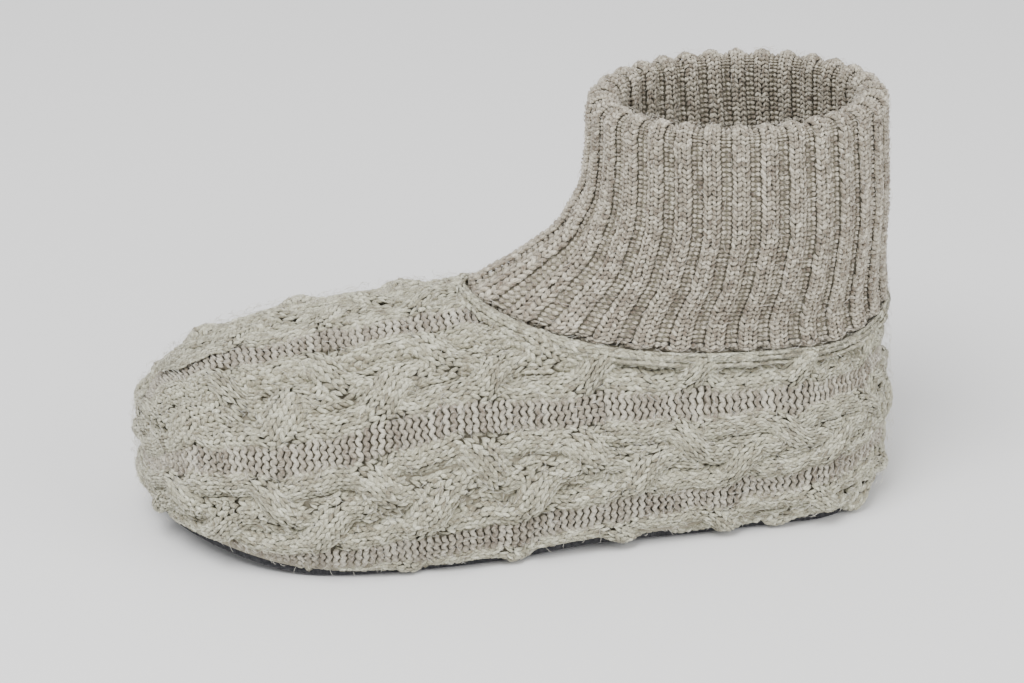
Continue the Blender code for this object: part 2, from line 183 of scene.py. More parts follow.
def foot_edge(wide, square, inset):
    """The lower edge, turned in from the widest line, one seam above the sole."""
    edge = wide - square * (SOLE_INSET + inset)
    edge[:, 2] = sole_rise(edge[:, 0]) + SOLE_THICKNESS + SEAM_GAP
    return edge


def knit_edge(wide, square):
    """The knit's lowest line, just outside the sole's edge and a little above the floor."""
    edge = wide - square * KNIT_INSET
    edge[:, 2] = sole_rise(edge[:, 0]) + KNIT_CLEAR
    return edge


def bezier(a, b, c, d, count):
    """A cubic curve for every station: (1-t)^3 a + 3(1-t)^2 t b + 3(1-t) t^2 c + t^3 d."""
    t = np.linspace(0, 1, count)[None, :, None]
    a, b, c, d = (p[:, None] for p in (a, b, c, d))
    return (1 - t) ** 3 * a + 3 * (1 - t) ** 2 * t * b + 3 * (1 - t) * t * t * c + t**3 * d


CIRCLE_ARC = 4 / 3 * (np.sqrt(2) - 1)
CORNER_STEPS = 24
DOME_STEPS = 72


def wall_curves(edge, wide, top, angle, lean, low_arc=CIRCLE_ARC):
    """The wall's sections: a rounded corner up to the widest line, then a dome to the top line.

    Both are cubic curves whose handles are a circle's, or fuller at the corner.
    """
    up = np.array([0, 0, 1.0])
    level = (wide - edge) * (1, 1, 0)
    rise = (wide - edge)[:, 2:]
    low = bezier(edge, edge + low_arc * level, wide - low_arc * rise * up, wide, CORNER_STEPS)
    span = top - wide
    across = np.linalg.norm(span[:, :2], axis=1)[:, None]
    pull = -outward(angle) * across * np.cos(lean)[:, None] + span[:, 2:] * np.sin(lean)[:, None] * up
    high = bezier(wide, wide + CIRCLE_ARC * span[:, 2:] * up, top - CIRCLE_ARC * pull, top, DOME_STEPS)
    return np.concatenate([low, high[:, 1:]], axis=1)


def run_along(curves):
    """How far along each curve each of its points lies."""
    steps = np.linalg.norm(np.diff(curves, axis=1), axis=2)
    return np.concatenate([np.zeros((len(curves), 1)), np.cumsum(steps, axis=1)], axis=1)


def read_at(curves, places):
    """Each curve read at its own lengths, one row of lengths a curve."""
    rows = zip(places, run_along(curves), curves)
    read = [[np.interp(place, run, curve[:, k]) for k in range(3)] for place, run, curve in rows]
    return np.array(read).swapaxes(1, 2)


# The chart is a grid of the foot's envelope: an even row of stations from toe to heel, a column every half
# millimetre of height up the left wall and, ahead of the collar, on over the ridge and down the right.
CHART_STEP = 0.0005
CHART_ROWS = 400
x, angle = stations(toe=90, ahead=26, behind=96, heel=60)
wide, square = widest_line(x, angle)
top, inner_top, lean = top_line(x, angle)
on_ridge = x >= collar_front_x
outside = wall_curves(knit_edge(wide, square), wide, top, angle, lean, LOW_FULLNESS)
girth = run_along(outside)[:, -1]
both_sides = np.concatenate([outside, outside[:, -2::-1] * (1, -1, 1)], axis=1)
inwards = np.linspace(0.01, 1, outside.shape[1] - 1)[None, :, None]
beyond = outside[:, -1:] - (outside[:, -1:] - inner_top[:, None]) * inwards
full = np.where(on_ridge[:, None, None], both_sides, np.concatenate([outside, beyond], axis=1))
columns = np.arange(0, 2 * girth.max(), CHART_STEP)
uneven = read_at(full, np.repeat(columns[None], len(full), axis=0))
station_run = np.concatenate([[0], np.cumsum(np.linalg.norm(np.diff(wide[:, :2], axis=0), axis=1))])
half_run = station_run[-1]
whole_run = 2 * half_run
chart_run = np.linspace(0, half_run, CHART_ROWS)
station_row = np.interp(chart_run, station_run, np.arange(len(station_run)))
lower_row = np.minimum(station_row.astype(int), len(x) - 2)
share_row = (station_row - lower_row)[:, None, None]
chart = uneven[lower_row] * (1 - share_row) + uneven[lower_row + 1] * share_row


def rounded_rows(grid, width):
    """A running mean from toe to heel under a squared cosine, carried over both ends onto the right side."""
    kernel = np.hanning(width + 2)[1:-1]
    half = width // 2
    ends = (grid[half:0:-1] * (1, -1, 1), grid, grid[-2 : -2 - half : -1] * (1, -1, 1))
    padded = np.concatenate(ends)
    return sum(share * padded[k : k + len(grid)] for k, share in enumerate(kernel / kernel.sum()))


def unit(vectors):
    """Each vector divided by its own length."""
    return vectors / np.maximum(np.linalg.norm(vectors, axis=-1, keepdims=True), 1e-12)


CHART_ROUNDING = 5
NORMAL_ROUNDING = 17
chart = rounded_rows(chart, CHART_ROUNDING)
whole_chart = np.concatenate([chart[1:2] * (1, -1, 1), chart, chart[-2:-1] * (1, -1, 1)])
chart_normals = unit(np.cross(np.gradient(whole_chart, axis=0)[1:-1], np.gradient(chart, axis=1)))
chart_normals = unit(rounded_rows(chart_normals, NORMAL_ROUNDING))


def read_grid(grid, row, column):
    """A grid of vectors read between its points, linearly both ways."""
    row = np.clip(row, 0, grid.shape[0] - 1.001)
    column = np.clip(column, 0, grid.shape[1] - 1.001)
    i, j = row.astype(int), column.astype(int)
    u, v = (row - i)[..., None], (column - j)[..., None]
    low = grid[i, j] * (1 - u) + grid[i + 1, j] * u
    high = grid[i, j + 1] * (1 - u) + grid[i + 1, j + 1] * u
    return low * (1 - v) + high * v


# The knit is pulled a little up and down by hand: two waves along the foot, in metres and radians a metre.
WANDER = 0.0005, 260
LESSER_WANDER = 0.0003, 590, 210
DRIFT = 1.3, 95, 23


def on_foot(run, height, depth, right=False):
    """Points of the foot: a length from the toe, a height up the wall and a depth under the envelope.

    The height wanders by a sin(b run + drift) + c sin(d run + e height), and the drift is another sine.
    """
    row = run / half_run * (CHART_ROWS - 1)
    drift = DRIFT[0] * np.sin(height * DRIFT[1] + run * DRIFT[2])
    wander = WANDER[0] * np.sin(run * WANDER[1] + drift)
    lesser = LESSER_WANDER[0] * np.sin(run * LESSER_WANDER[1] + height * LESSER_WANDER[2])
    column = (height + wander + lesser) / CHART_STEP
    point = read_grid(chart, row, column) - read_grid(chart_normals, row, column) * depth[..., None]
    if right:
        point = point * (1, -1, 1)
    return placed(point)


# The form is centred as the solid is: its sole's box gives the place.
form_centre = np.zeros(3)
sole_rim = wide + square * (SOLE_LIP - SOLE_INSET)
sole_rim = np.concatenate([placed(sole_rim), placed(sole_rim * (1, -1, 1))])
rim_sum = sole_rim.min(axis=0) + sole_rim.max(axis=0)
form_centre = (rim_sum - np.sum(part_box("sole"), axis=0)) / 2 * (1, 1, 0)

# A trough's line is given by its height at places along the foot, from the heel's back to the toe's tip, as
# shares of the girth at the ball. A plait fills the space between two lines: its strands' reach and the wales
# on them are shares of that space, and their rise and fall grows with it from that of a full one.
HALF_GIRTH = 0.1042
FULL_SPACING = 0.036
STRAND_REACH = 10.4 / 36
STRAND_LIFT = 0.0024
UNDER = 0.4
WALE = 2.6 / 36
STRAND_WALES = 4
STRAND_DOME = 0.0018
STRAND_TILT = 0.6
COURSE = 0.0023
CROSSING = 0.80
WEB_FROM = 1.7
WEB_DEPTH = 0.0040
PLAIT_REPEAT = 0.033
HIDDEN_WITHIN = 1.6
WALE_SHIFT = 0.37
LOOK_AHEAD = 0.0003
YARN_RADIUS = 0.00064
PROUD = 0.0006
EDGE_SPACING = 0.032
TROUGH_PLACES = np.array([0.0, 0.2, 0.5, 0.6, 0.7, 0.8, 0.9, 0.97, 1.0])
TROUGH_SHARES = {
    "low": (0.26, 0.18, 0.12, 0.105, 0.09, 0.06, 0.02, -0.03, -0.08),
    "middle": (0.48, 0.46, 0.51, 0.54, 0.49, 0.43, 0.36, 0.27, 0.18),
    "top": (0.78, 0.79, 0.87, 0.90, 0.88, 0.84, 0.74, 0.57, 0.40),
}
LINE_ROUNDING = 41
fine_run = np.linspace(0, half_run, 600)
fine_place = (np.interp(fine_run, station_run, wide[:, 0]) - back_x) / LENGTH


def softened(values, width):
    """A running mean under a squared cosine that keeps the ends level, by reflection."""
    kernel = np.hanning(width + 2)[1:-1]
    padded = np.pad(values, width // 2, mode="reflect")
    return np.convolve(padded, kernel / kernel.sum(), mode="valid")[: len(values)]


trough_lines = {
    name: softened(np.interp(fine_place, TROUGH_PLACES, shares) * HALF_GIRTH, LINE_ROUNDING)
    for name, shares in TROUGH_SHARES.items()
}


def folded(run):
    """The whole way round the foot folded onto its left half, and which points are on the right."""
    run = np.mod(run, whole_run)
    right = run > half_run
    return np.where(right, whole_run - run, run), right


def trough_at(name, run):
    """A trough's height at lengths round the foot, the same on the left and the right."""
    return np.interp(folded(run)[0], fine_run, trough_lines[name])


def girth_at(run):
    """The wall's height from its lowest line to the collar or the ridge, at lengths round the foot."""
    return np.interp(folded(run)[0], station_run, girth)


def round_foot(run, height, depth):
    """Points at a length round the whole foot, from the toe's tip along the left side."""
    run, right = folded(run)
    left_points = on_foot(run, height, depth)
    right_points = on_foot(run, height, depth, right=True)
    return np.where(right[..., None], right_points, left_points)


def tube_quads(rings, sides):
    """The faces between rings of points, each ring closed on itself."""
    near = np.arange(rings - 1)[:, None] * sides + np.arange(sides)
    beside = np.arange(rings - 1)[:, None] * sides + (np.arange(sides) + 1) % sides
    return np.stack([near, beside, beside + sides, near + sides], -1).reshape(-1, 4)


def halved(quads):
    """Each four-sided face as two triangles."""
    return quads[:, :3], quads[:, [0, 2, 3]]


def knit_leg(length, radius, lean, dip, sides, rings):
    """One leg of a knit stitch: a closed spindle round a leaning arc, in courses along and wales across.

    Its rings' radius is r sqrt(sin(pi t)), and its ends dip by a squared law under the stitches beside it.
    """
    t = np.linspace(0, 1, rings + 2)
    along = (t - 0.5) * length
    across = lean[0] + (lean[1] - lean[0]) * smooth(t)
    sink = dip * (2 * t - 1) ** 2
    turn = 2 * np.pi * np.arange(sides) / sides
    swell = radius * np.sqrt(np.sin(np.pi * t[1:-1]))[:, None]
    ring = np.stack(
        [
            np.repeat(along[1:-1, None], sides, axis=1),
            across[1:-1, None] + swell * np.cos(turn),
            swell * np.sin(turn) - sink[1:-1, None],
        ],
        axis=2,
    ).reshape(-1, 3)
    poles = np.stack([along[[0, -1]], across[[0, -1]], -sink[[0, -1]]], 1)
    ends = np.arange(sides)
    after = (ends + 1) % sides
    last = (rings - 1) * sides
    start = np.stack([np.full(sides, rings * sides), after, ends], 1)
    end = np.stack([np.full(sides, rings * sides + 1), last + ends, last + after], 1)
    faces = np.concatenate([*halved(tube_quads(rings, sides)), start, end])
    return np.concatenate([ring, poles]), faces, np.concatenate([np.tile(turn, rings), [0, 0]])


def linked(name, mesh, finish):
    """The mesh as an object of the shoe, with its finish."""
    mesh.materials.append(finish)
    made = bpy.data.objects.new(name, mesh)
    bpy.context.scene.collection.objects.link(made)
    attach(made, "root")
    return made


def yarn_mesh(name, points, faces, finish, fibre=None, tint=None):
    """A piece from arrays, with the yarn's own coordinates and tint kept at its points."""
    mesh = bpy.data.meshes.new(name)
    mesh.vertices.add(len(points))
    mesh.vertices.foreach_set("co", np.ascontiguousarray(points, np.float32).ravel())
    mesh.loops.add(faces.size)
    mesh.loops.foreach_set("vertex_index", np.ascontiguousarray(faces, np.int32).ravel())
    mesh.polygons.add(len(faces))
    mesh.polygons.foreach_set("loop_start", np.arange(0, faces.size, faces.shape[1], dtype=np.int32))
    mesh.polygons.foreach_set("use_smooth", np.ones(len(faces), bool))
    mesh.update(calc_edges=True)
    if fibre is not None:
        fibres = mesh.attributes.new("fibre", "FLOAT_VECTOR", "POINT")
        fibres.data.foreach_set("vector", np.ascontiguousarray(fibre, np.float32).ravel())
        tints = mesh.attributes.new("tint", "FLOAT", "POINT")
        tints.data.foreach_set("value", np.ascontiguousarray(tint, np.float32).ravel())
    return linked(name, mesh, finish)


# No two stitches are alike: how far they spread, as shares of a course or a wale.
COURSE_SPREAD = 0.06
PLUMP_SPREAD = 0.09
ALONG_SPREAD = 0.04
ACROSS_SPREAD = 0.03
DEPTH_SPREAD = 0.035
SWING_SPREAD = 0.06
# The fibres turn round the yarn by this many radians a metre, and no two yarns start at the same fibre.
TWIST = 900
MILLIMETRES = 1000
FIBRE_START = 400


def worked(surface, template, rows, seed):
    """Copies of a template laid on a surface, one a row.

    A row is a place (first, second), a direction in it, a length and a width scale, a depth, a side, and
    how steeply the copy falls away across its direction. The template's leg is mirrored on side -1, and its
    faces are then turned round.
    """
    place, way, course, wale, depth, side, tilt = rows
    rng = np.random.default_rng(seed)
    points, faces, turn = template
    count = len(place)
    course = (course * rng.normal(1, COURSE_SPREAD, count))[:, None]
    wale = wale[:, None]
    plump = rng.normal(1, PLUMP_SPREAD, count)[:, None]
    along = points[None, :, 0] * course + rng.normal(0, ALONG_SPREAD, count)[:, None] * course
    across = points[None, :, 1] * side[:, None] * wale * plump
    across = across + rng.normal(0, ACROSS_SPREAD, count)[:, None] * wale
    up = points[None, :, 2] * wale * plump + rng.normal(0, DEPTH_SPREAD, count)[:, None] * wale
    up = up - tilt[:, None] * across
    swing = rng.normal(0, SWING_SPREAD, count)[:, None]
    along, across = along - across * swing, across + along * swing
    first = place[:, :1] + along * way[:, :1] - across * way[:, 1:]
    second = place[:, 1:] + along * way[:, 1:] + across * way[:, :1]
    where = surface(first, second, depth[:, None] - up)
    twist = side[:, None] * turn[None] + along * TWIST + rng.uniform(0, 6.3, count)[:, None]
    lengthwise = along * MILLIMETRES + rng.uniform(0, FIBRE_START, count)[:, None]
    fibre = np.stack([lengthwise, np.cos(twist), np.sin(twist)], 2)
    tint = np.repeat(rng.uniform(0, 1, count)[:, None], len(points), axis=1)
    mirrored = np.where((side > 0)[:, None, None], faces[None], faces[None, :, ::-1])
    faces = mirrored + (np.arange(count) * len(points))[:, None, None]
    return where.reshape(-1, 3), faces.reshape(-1, 3), fibre.reshape(-1, 3), tint.ravel()


def both_legs(place, way, course, wale, depth, tilt):
    """The rows of a line of stitches: every left leg, then every right leg. Numbers hold for all of them."""
    count = len(place)
    spread = [np.broadcast_to(value, count) for value in (course, wale, depth)]
    tilt = np.broadcast_to(tilt, count)
    return [(place, way, *spread, np.full(count, side), tilt) for side in (1.0, -1.0)]


def joined(rows):
    """Several lots of rows as one."""
    return tuple(np.concatenate(part) for part in zip(*rows))


def strand_swing(turn):
    """A strand's place across its plait, in six even parts of its turn: 0, 1, 1, 0, -1, -1 and 0 again.

    It moves with level ends inside a part, and lies still at the plait's edge for the second and fifth.
    """
    part = np.mod(turn * 6 / (2 * np.pi), 6)
    first = part.astype(int) % 6
    places = np.array([0, 1, 1, 0, -1, -1, 0])
    share = smooth((part - first - (1 - CROSSING) / 2) / CROSSING)
    return places[first] + (places[first + 1] - places[first]) * share


def strand_lift(turn):
    """How high a strand lies: under its neighbour on its way out, over it on its way in."""
    part = np.mod(turn * 6 / (2 * np.pi), 6)
    first = part.astype(int) % 6
    return STRAND_LIFT * np.array([-UNDER, 0, 1, -UNDER, 0, 1])[first] * np.sin(np.pi * (part - first)) ** 2


def stitched_line(run, height, course, start, closed):
    """Places at even steps along a line given by its heights at lengths, and the way it goes at each."""
    length = np.concatenate([[0], np.cumsum(np.hypot(np.diff(run), np.diff(height)))])
    count = int(length[-1] / course)
    places = (np.arange(count) + start) * length[-1] / count
    places = places % length[-1] if closed else places[places < length[-1]]
    at = np.interp(places, length, run)
    ahead = np.interp(places + LOOK_AHEAD, length, run)
    here = np.interp(at, run, height)
    return np.stack([at, here], 1), unit(np.stack([ahead - at, np.interp(ahead, run, height) - here], 1))


def plait_rows(centre, spacing, start, end, repeats, phase, closed):
    """The legs of one plait's stitches, strand by strand and wale by wale.

    Each strand swings across and rises beside it, so that it goes over one neighbour and under the other.
    Its wales fall away to its edges by a squared law. Stitches that lie deep under another strand are left
    out, and where no strand lies, straight wales fill the plait from below.
    """
    run = np.linspace(start, end, 6001)

    def turned(run, strand):
        return 2 * np.pi * (repeats / 3 * (run - start) / (end - start) + strand / 3 + phase)

    rows = []
    for strand in range(3):
        height = centre(run) + STRAND_REACH * spacing(run) * strand_swing(turned(run, strand))
        for wale in range(STRAND_WALES):
            off = wale - (STRAND_WALES - 1) / 2
            place, way = stitched_line(run, height, COURSE, 0.5 + WALE_SHIFT * wale, closed)
            size = np.interp(place[:, 0], run, spacing(run))
            relief = size / FULL_SPACING
            lift = strand_lift(turned(place[:, 0], strand)) * relief
            dome = STRAND_DOME * (2 * off / (STRAND_WALES - 1)) ** 2 * relief
            place = place + off * WALE * size[:, None] * way[:, ::-1] * (-1, 1)
            hidden = np.zeros(len(place), bool)
            for other in (strand + 1, strand + 2):
                angle = turned(place[:, 0], other % 3)
                apart = place[:, 1] - centre(place[:, 0]) - STRAND_REACH * size * strand_swing(angle)
                above = strand_lift(angle) * relief - lift + dome
                hidden |= (above > STRAND_LIFT * relief) & (np.abs(apart) < HIDDEN_WITHIN * WALE * size)
            depth = YARN_RADIUS + STRAND_LIFT * relief - lift + dome - PROUD
            legs = both_legs(place, way, COURSE, size * WALE, depth, STRAND_TILT * off)
            rows += [kept(leg, ~hidden) for leg in legs]
    columns = np.arange(STRAND_WALES * 2) - (STRAND_WALES * 2 - 1) / 2
    web_run, web = np.meshgrid(np.arange(start, end, COURSE), columns * WALE, indexing="ij")
    web_run, web = web_run.ravel(), web.ravel()
    swings = [STRAND_REACH * strand_swing(turned(web_run, strand)) for strand in range(3)]
    bare = np.min([np.abs(web - swing) for swing in swings], axis=0) > WEB_FROM * WALE
    size = spacing(web_run)[bare]
    place = np.stack([web_run[bare], centre(web_run)[bare] + web[bare] * size], 1)
    way = np.broadcast_to([1.0, 0.0], place.shape)
    rows += both_legs(place, way, COURSE, size * WALE, size / FULL_SPACING * WEB_DEPTH, 0.0)
    return joined(rows)


def kept(rows, keep):
    """The rows that a mask keeps."""
    return tuple(part[keep] for part in rows)


def node(tree, kind, **settings):
    """A new shader node. A setting goes to the input of that name, or else to the node itself."""
    made = tree.nodes.new("ShaderNode" + kind)
    for name, value in settings.items():
        socket = made.inputs.get(name.replace("_", " ").title())
        if socket is None:
            setattr(made, name, value)
        else:
            socket.default_value = value
    return made


def yarn_effect():
    """The yarn's colour and bump, shared by all the wool.

    Noise drawn out along the fibres, the stitch's own tint and broad patches add up to a shade, which leads
    from the dark to the body colour and on to the light one. The drawn-out noise lifts the surface too.
    """
    group = bpy.data.node_groups.new("yarn", "ShaderNodeTree")
    for label in ("Dark", "Body", "Light"):
        group.interface.new_socket(label, in_out="INPUT", socket_type="NodeSocketColor")
    group.interface.new_socket("Color", in_out="OUTPUT", socket_type="NodeSocketColor")
    group.interface.new_socket("Normal", in_out="OUTPUT", socket_type="NodeSocketVector")
    link = group.links.new
    given = group.nodes.new("NodeGroupInput")
    out = group.nodes.new("NodeGroupOutput")
    fibre = node(group, "Attribute", attribute_name="fibre")
    tint = node(group, "Attribute", attribute_name="tint")
    place = node(group, "TexCoord")
    stretch = node(group, "VectorMath", operation="MULTIPLY")
    stretch.inputs[1].default_value = (0.45, 2.2, 2.2)
    link(fibre.outputs["Vector"], stretch.inputs[0])
    streak = node(group, "TexNoise", scale=1.7, detail=4)
    link(stretch.outputs[0], streak.inputs["Vector"])
    patch = node(group, "TexNoise", scale=330, detail=3)
    link(place.outputs["Object"], patch.inputs["Vector"])
    shade = streak.outputs["Fac"]
    for source, share in ((tint, 0.25), (patch, 0.4)):
        added = node(group, "Math", operation="MULTIPLY_ADD")
        added.inputs[1].default_value = share
        link(source.outputs["Fac"], added.inputs[0])
        link(shade, added.inputs[2])
        shade = added.outputs[0]
    colour = given.outputs["Dark"]
    for label, low, high in (("Body", 0.64, 0.82), ("Light", 0.86, 1.02)):
        share = node(group, "MapRange", from_min=low, from_max=high)
        link(shade, share.inputs["Value"])
        blend = node(group, "Mix", data_type="RGBA")
        link(share.outputs[0], blend.inputs["Factor"])
        link(colour, blend.inputs[6])
        link(given.outputs[label], blend.inputs[7])
        colour = blend.outputs[2]
    bump = node(group, "Bump", strength=1.0, distance=0.0005)
    link(streak.outputs["Fac"], bump.inputs["Height"])
    link(colour, out.inputs["Color"])
    link(bump.outputs["Normal"], out.inputs["Normal"])
    return group


def woollen(name, dark, body, light, sheen=0.3):
    """A wool finish: the yarn's colours on a rough shader with a soft sheen."""
    finish = bpy.data.materials.new(name)
    finish.use_nodes = True
    tree = finish.node_tree
    shader = tree.nodes["Principled BSDF"]
    shader.inputs["Roughness"].default_value = 0.95
    shader.inputs["Specular IOR Level"].default_value = 0.15
    shader.inputs["Sheen Weight"].default_value = sheen
    shader.inputs["Sheen Roughness"].default_value = 0.5
    effect = node(tree, "Group")
    effect.node_tree = yarn_group
    for label, value in (("Dark", dark), ("Body", body), ("Light", light)):
        effect.inputs[label].default_value = (*value, 1)
    tree.links.new(effect.outputs["Color"], shader.inputs["Base Color"])
    tree.links.new(effect.outputs["Normal"], shader.inputs["Normal"])
    return finish


yarn_group = yarn_effect()
foot_wool = woollen("foot_wool", (0.22, 0.19, 0.135), (0.462, 0.443, 0.325), (0.77, 0.755, 0.61))
# The trough's wool is painted shade: the foot's yarn made darker for the recessed troughs.
shaded_trough_wool = woollen("shaded_trough_wool", (0.21, 0.17, 0.13), (0.44, 0.40, 0.315), (0.68, 0.645, 0.54))
# The back's wool is painted shade: a darker copy of the yarn for the gaps between stitches, the cuff's back
# and the collar seam.
shaded_back_wool = woollen("shaded_back_wool", (0.25, 0.225, 0.17), (0.34, 0.315, 0.24), (0.44, 0.41, 0.33), sheen=0.2)

foot_leg = knit_leg(length=1.9, radius=0.28, lean=(0.07, 0.41), dip=0.16, sides=5, rings=2)
# The knit starts at its lowest line and stops short of the collar, where the bound-off edge takes over.
LOWEST = -0.0002
BELOW_COLLAR = 0.0022
LEAST_SPACING = 0.008


def side_plait(name, lower, upper, phase, seed):
    """A plait that runs round the whole foot between two troughs, or under the lowest of them."""

    def spacing(run):
        if lower is None:
            return np.full(np.shape(run), EDGE_SPACING)
        return np.maximum(trough_at(upper, run) - trough_at(lower, run), LEAST_SPACING)

    def centre(run):
        return trough_at(upper, run) - spacing(run) / 2

    repeats = 3 * round(whole_run / PLAIT_REPEAT / 3)
    rows = plait_rows(centre, spacing, 0, whole_run, repeats, phase, closed=True)
    run, height = rows[0].T
    rows = kept(rows, (height > LOWEST) & (height < girth_at(run) - BELOW_COLLAR))
    points, faces, fibre, tint = worked(round_foot, foot_leg, rows, seed)
    yarn_mesh(name, points, faces, foot_wool, fibre, tint)


side_plait("plait_low", None, "low", phase=0.00, seed=20)
side_plait("plait_middle", "low", "middle", phase=0.11, seed=23)
side_plait("plait_high", "middle", "top", phase=0.23, seed=21)

INSTEP_START = 0.004
INSTEP_PAST_COLLAR = 0.003
INSTEP_LEAST_HALF = 0.004
collar_front_run = np.interp(-collar_front_x, -wide[:, 0], station_run)


def instep_plait():
    """The plait down the middle of the instep, from the cuff to the toe."""

    def half_spacing(run):
        return girth_at(run) - trough_at("top", run)

    def spacing(run):
        return np.maximum(2 * half_spacing(run), INSTEP_LEAST_HALF)

    repeats = 3 * round(collar_front_run / PLAIT_REPEAT / 3 * 2) / 2
    end = collar_front_run + INSTEP_PAST_COLLAR
    rows = plait_rows(girth_at, spacing, INSTEP_START, end, repeats, phase=0.3, closed=False)
    rows = kept(rows, half_spacing(rows[0][:, 0]) > INSTEP_LEAST_HALF)
    points, faces, fibre, tint = worked(on_foot, foot_leg, rows, seed=5)
    yarn_mesh("plait_instep", points, faces, foot_wool, fibre, tint)


instep_plait()

# Each row's height above the collar line, and its depth: together a round edge that sinks under the cuff.
COLLAR_ROWS = ((-0.0042, 0.0020), (-0.0023, 0.0009), (-0.0004, 0.0010), (0.0014, 0.0024), (0.0028, 0.0040))
COLLAR_WALE = 0.0024


def collar_edge():
    """The foot's bound-off edge: rows of stitches along the collar, the upper ones sunk under the cuff."""
    behind = np.linspace(collar_front_run + 0.0005, half_run, 3000)
    height = np.interp(behind, station_run, girth)
    length = np.concatenate([[0], np.cumsum(np.hypot(np.diff(behind), np.diff(height)))])
    places = np.arange(0.5, int(length[-1] / COURSE)) * COURSE
    at, ahead = np.interp(places, length, behind), np.interp(places + 0.0005, length, behind)
    here, there = np.interp(at, behind, height), np.interp(ahead, behind, height)
    way = unit(np.stack([ahead - at, there - here], 1))
    rows = []
    for off, depth in COLLAR_ROWS:
        place = np.stack([at, here], 1) + off * way[:, ::-1] * (-1, 1)
        rows += both_legs(place, way, COURSE, COLLAR_WALE, depth, 0.0)
    place, way, *rest = joined(rows)
    mirrored = (whole_run, 0) + place * (-1, 1), way * (1, -1), *rest
    rows = joined([(place, way, *rest), mirrored])
    points, faces, fibre, tint = worked(round_foot, foot_leg, rows, seed=6)
    yarn_mesh("collar_edge", points, faces, foot_wool, fibre, tint)


collar_edge()

# A trough shows the knit's reverse: its courses are wavy lines of yarn side by side, pulled a little askew.
# Its wool is the foot's yarn made darker, painted shade for the recess.
TROUGH_REACH = 5.6 / 36
TROUGH_DEPTH = 0.0038
PURL_WALE = 0.0033
PURL_WAVE = 0.0005
PURL_RADIUS = 0.00088
PURL_STEPS = 18
PURL_RISE = 0.0004
PURL_STRAIN = 0.0004, 420, 170, 61
PURL_DRIFT = 1.2, 83
YARN_SIDES = 5
PINCHED = 0.3


def yarn_tubes(surface, run, height, depth, radius, sides, seed):
    """Closed tubes round paths on a surface, a row of places each: r cos a beside the path, r sin a over it.

    Their ends narrow and close flat.
    """
    rng = np.random.default_rng(seed)
    count, steps = run.shape
    turn = 2 * np.pi * np.arange(sides) / sides
    direction = unit(np.stack([np.gradient(run, axis=1), np.gradient(height, axis=1)], 2))
    swell = radius * np.ones(steps)
    swell[[0, -1]] *= PINCHED
    off = swell[None, :, None] * np.cos(turn)
    first = run[..., None] + off * direction[..., 1:]
    second = height[..., None] - off * direction[..., :1]
    where = surface(first, second, depth[..., None] - swell[None, :, None] * np.sin(turn))
    fan = np.arange(1, sides - 1)
    start = np.stack([np.zeros_like(fan), fan + 1, fan], 1)
    end = np.stack([np.zeros_like(fan), fan, fan + 1], 1) + (steps - 1) * sides
    faces = np.concatenate([*halved(tube_quads(steps, sides)), start, end])[:, ::-1]
    faces = (faces[None] + (np.arange(count) * steps * sides)[:, None, None]).reshape(-1, 3)
    length = np.cumsum(np.hypot(np.gradient(run, axis=1), np.gradient(height, axis=1)), axis=1)[..., None]
    twist = turn + length * TWIST
    lengthwise = np.broadcast_to(length * MILLIMETRES, twist.shape)
    fibre = np.stack([lengthwise, np.cos(twist), np.sin(twist)], 3)
    fibre[..., 0] += rng.uniform(0, FIBRE_START, (count, 1, 1))
    tint = np.broadcast_to(rng.uniform(0, 1, (count, 1, 1)), twist.shape)
    return where.reshape(-1, 3), faces, fibre.reshape(-1, 3), tint.ravel()


def trough(name):
    """The reverse stitches of one trough: a wavy line of yarn across it for every course.

    A line's run is its course's own, plus a strain a sin(b height + c run) cos(d run), plus a wave w cos.
    """
    courses = int(whole_run / COURSE)
    across = np.linspace(-1, 1, PURL_STEPS)
    start = ((np.arange(courses) + 0.5) * whole_run / courses)[:, None]
    limit = girth_at(start)
    middle = trough_at(name, start)
    height = np.minimum(middle, limit) + across * TROUGH_REACH * FULL_SPACING
    wave = 2 * np.pi * height / PURL_WALE
    amount, by_height, by_run, slower = PURL_STRAIN
    strain = amount * np.sin(height * by_height + start * by_run) * np.cos(start * slower)
    run = start + strain + PURL_WAVE * np.cos(wave + PURL_DRIFT[0] * np.sin(start * PURL_DRIFT[1]))
    depth = TROUGH_DEPTH - PURL_RISE * np.cos(2 * wave)
    inside = (height[:, :1] < limit - 0.001) & (middle < limit + 0.002) & (height[:, :1] > -0.004)
    height = np.minimum(height, limit - 0.0005 + across * 1e-4)
    height = np.maximum(height, across * 1e-4)
    paths = [part[inside[:, 0]] for part in (run, height, depth)]
    points, faces, fibre, tint = yarn_tubes(round_foot, *paths, PURL_RADIUS, YARN_SIDES, seed=3)
    yarn_mesh("trough_" + name, points, faces, shaded_trough_wool, fibre, tint)


for name in TROUGH_SHARES:
    trough(name)

# The knit's dense back closes the foot behind the yarns and stands for the solid upper. Its wool is painted
# shade: the yarn made darker, seen in the gaps between the stitches.
BACK_DEPTH = 0.0057
BACK_EDGE_DEPTH = 0.0022
BACK_EDGE_RISE = 0.012
BACK_OUTER = 44
BACK_INNER = 13
MERGED_WITHIN = 4e-5


def back_depth(height):
    """The back's depth: thin at the lower edge, and deeper above it by an even step."""
    return BACK_EDGE_DEPTH + (BACK_DEPTH - BACK_EDGE_DEPTH) * smooth(height / BACK_EDGE_RISE)


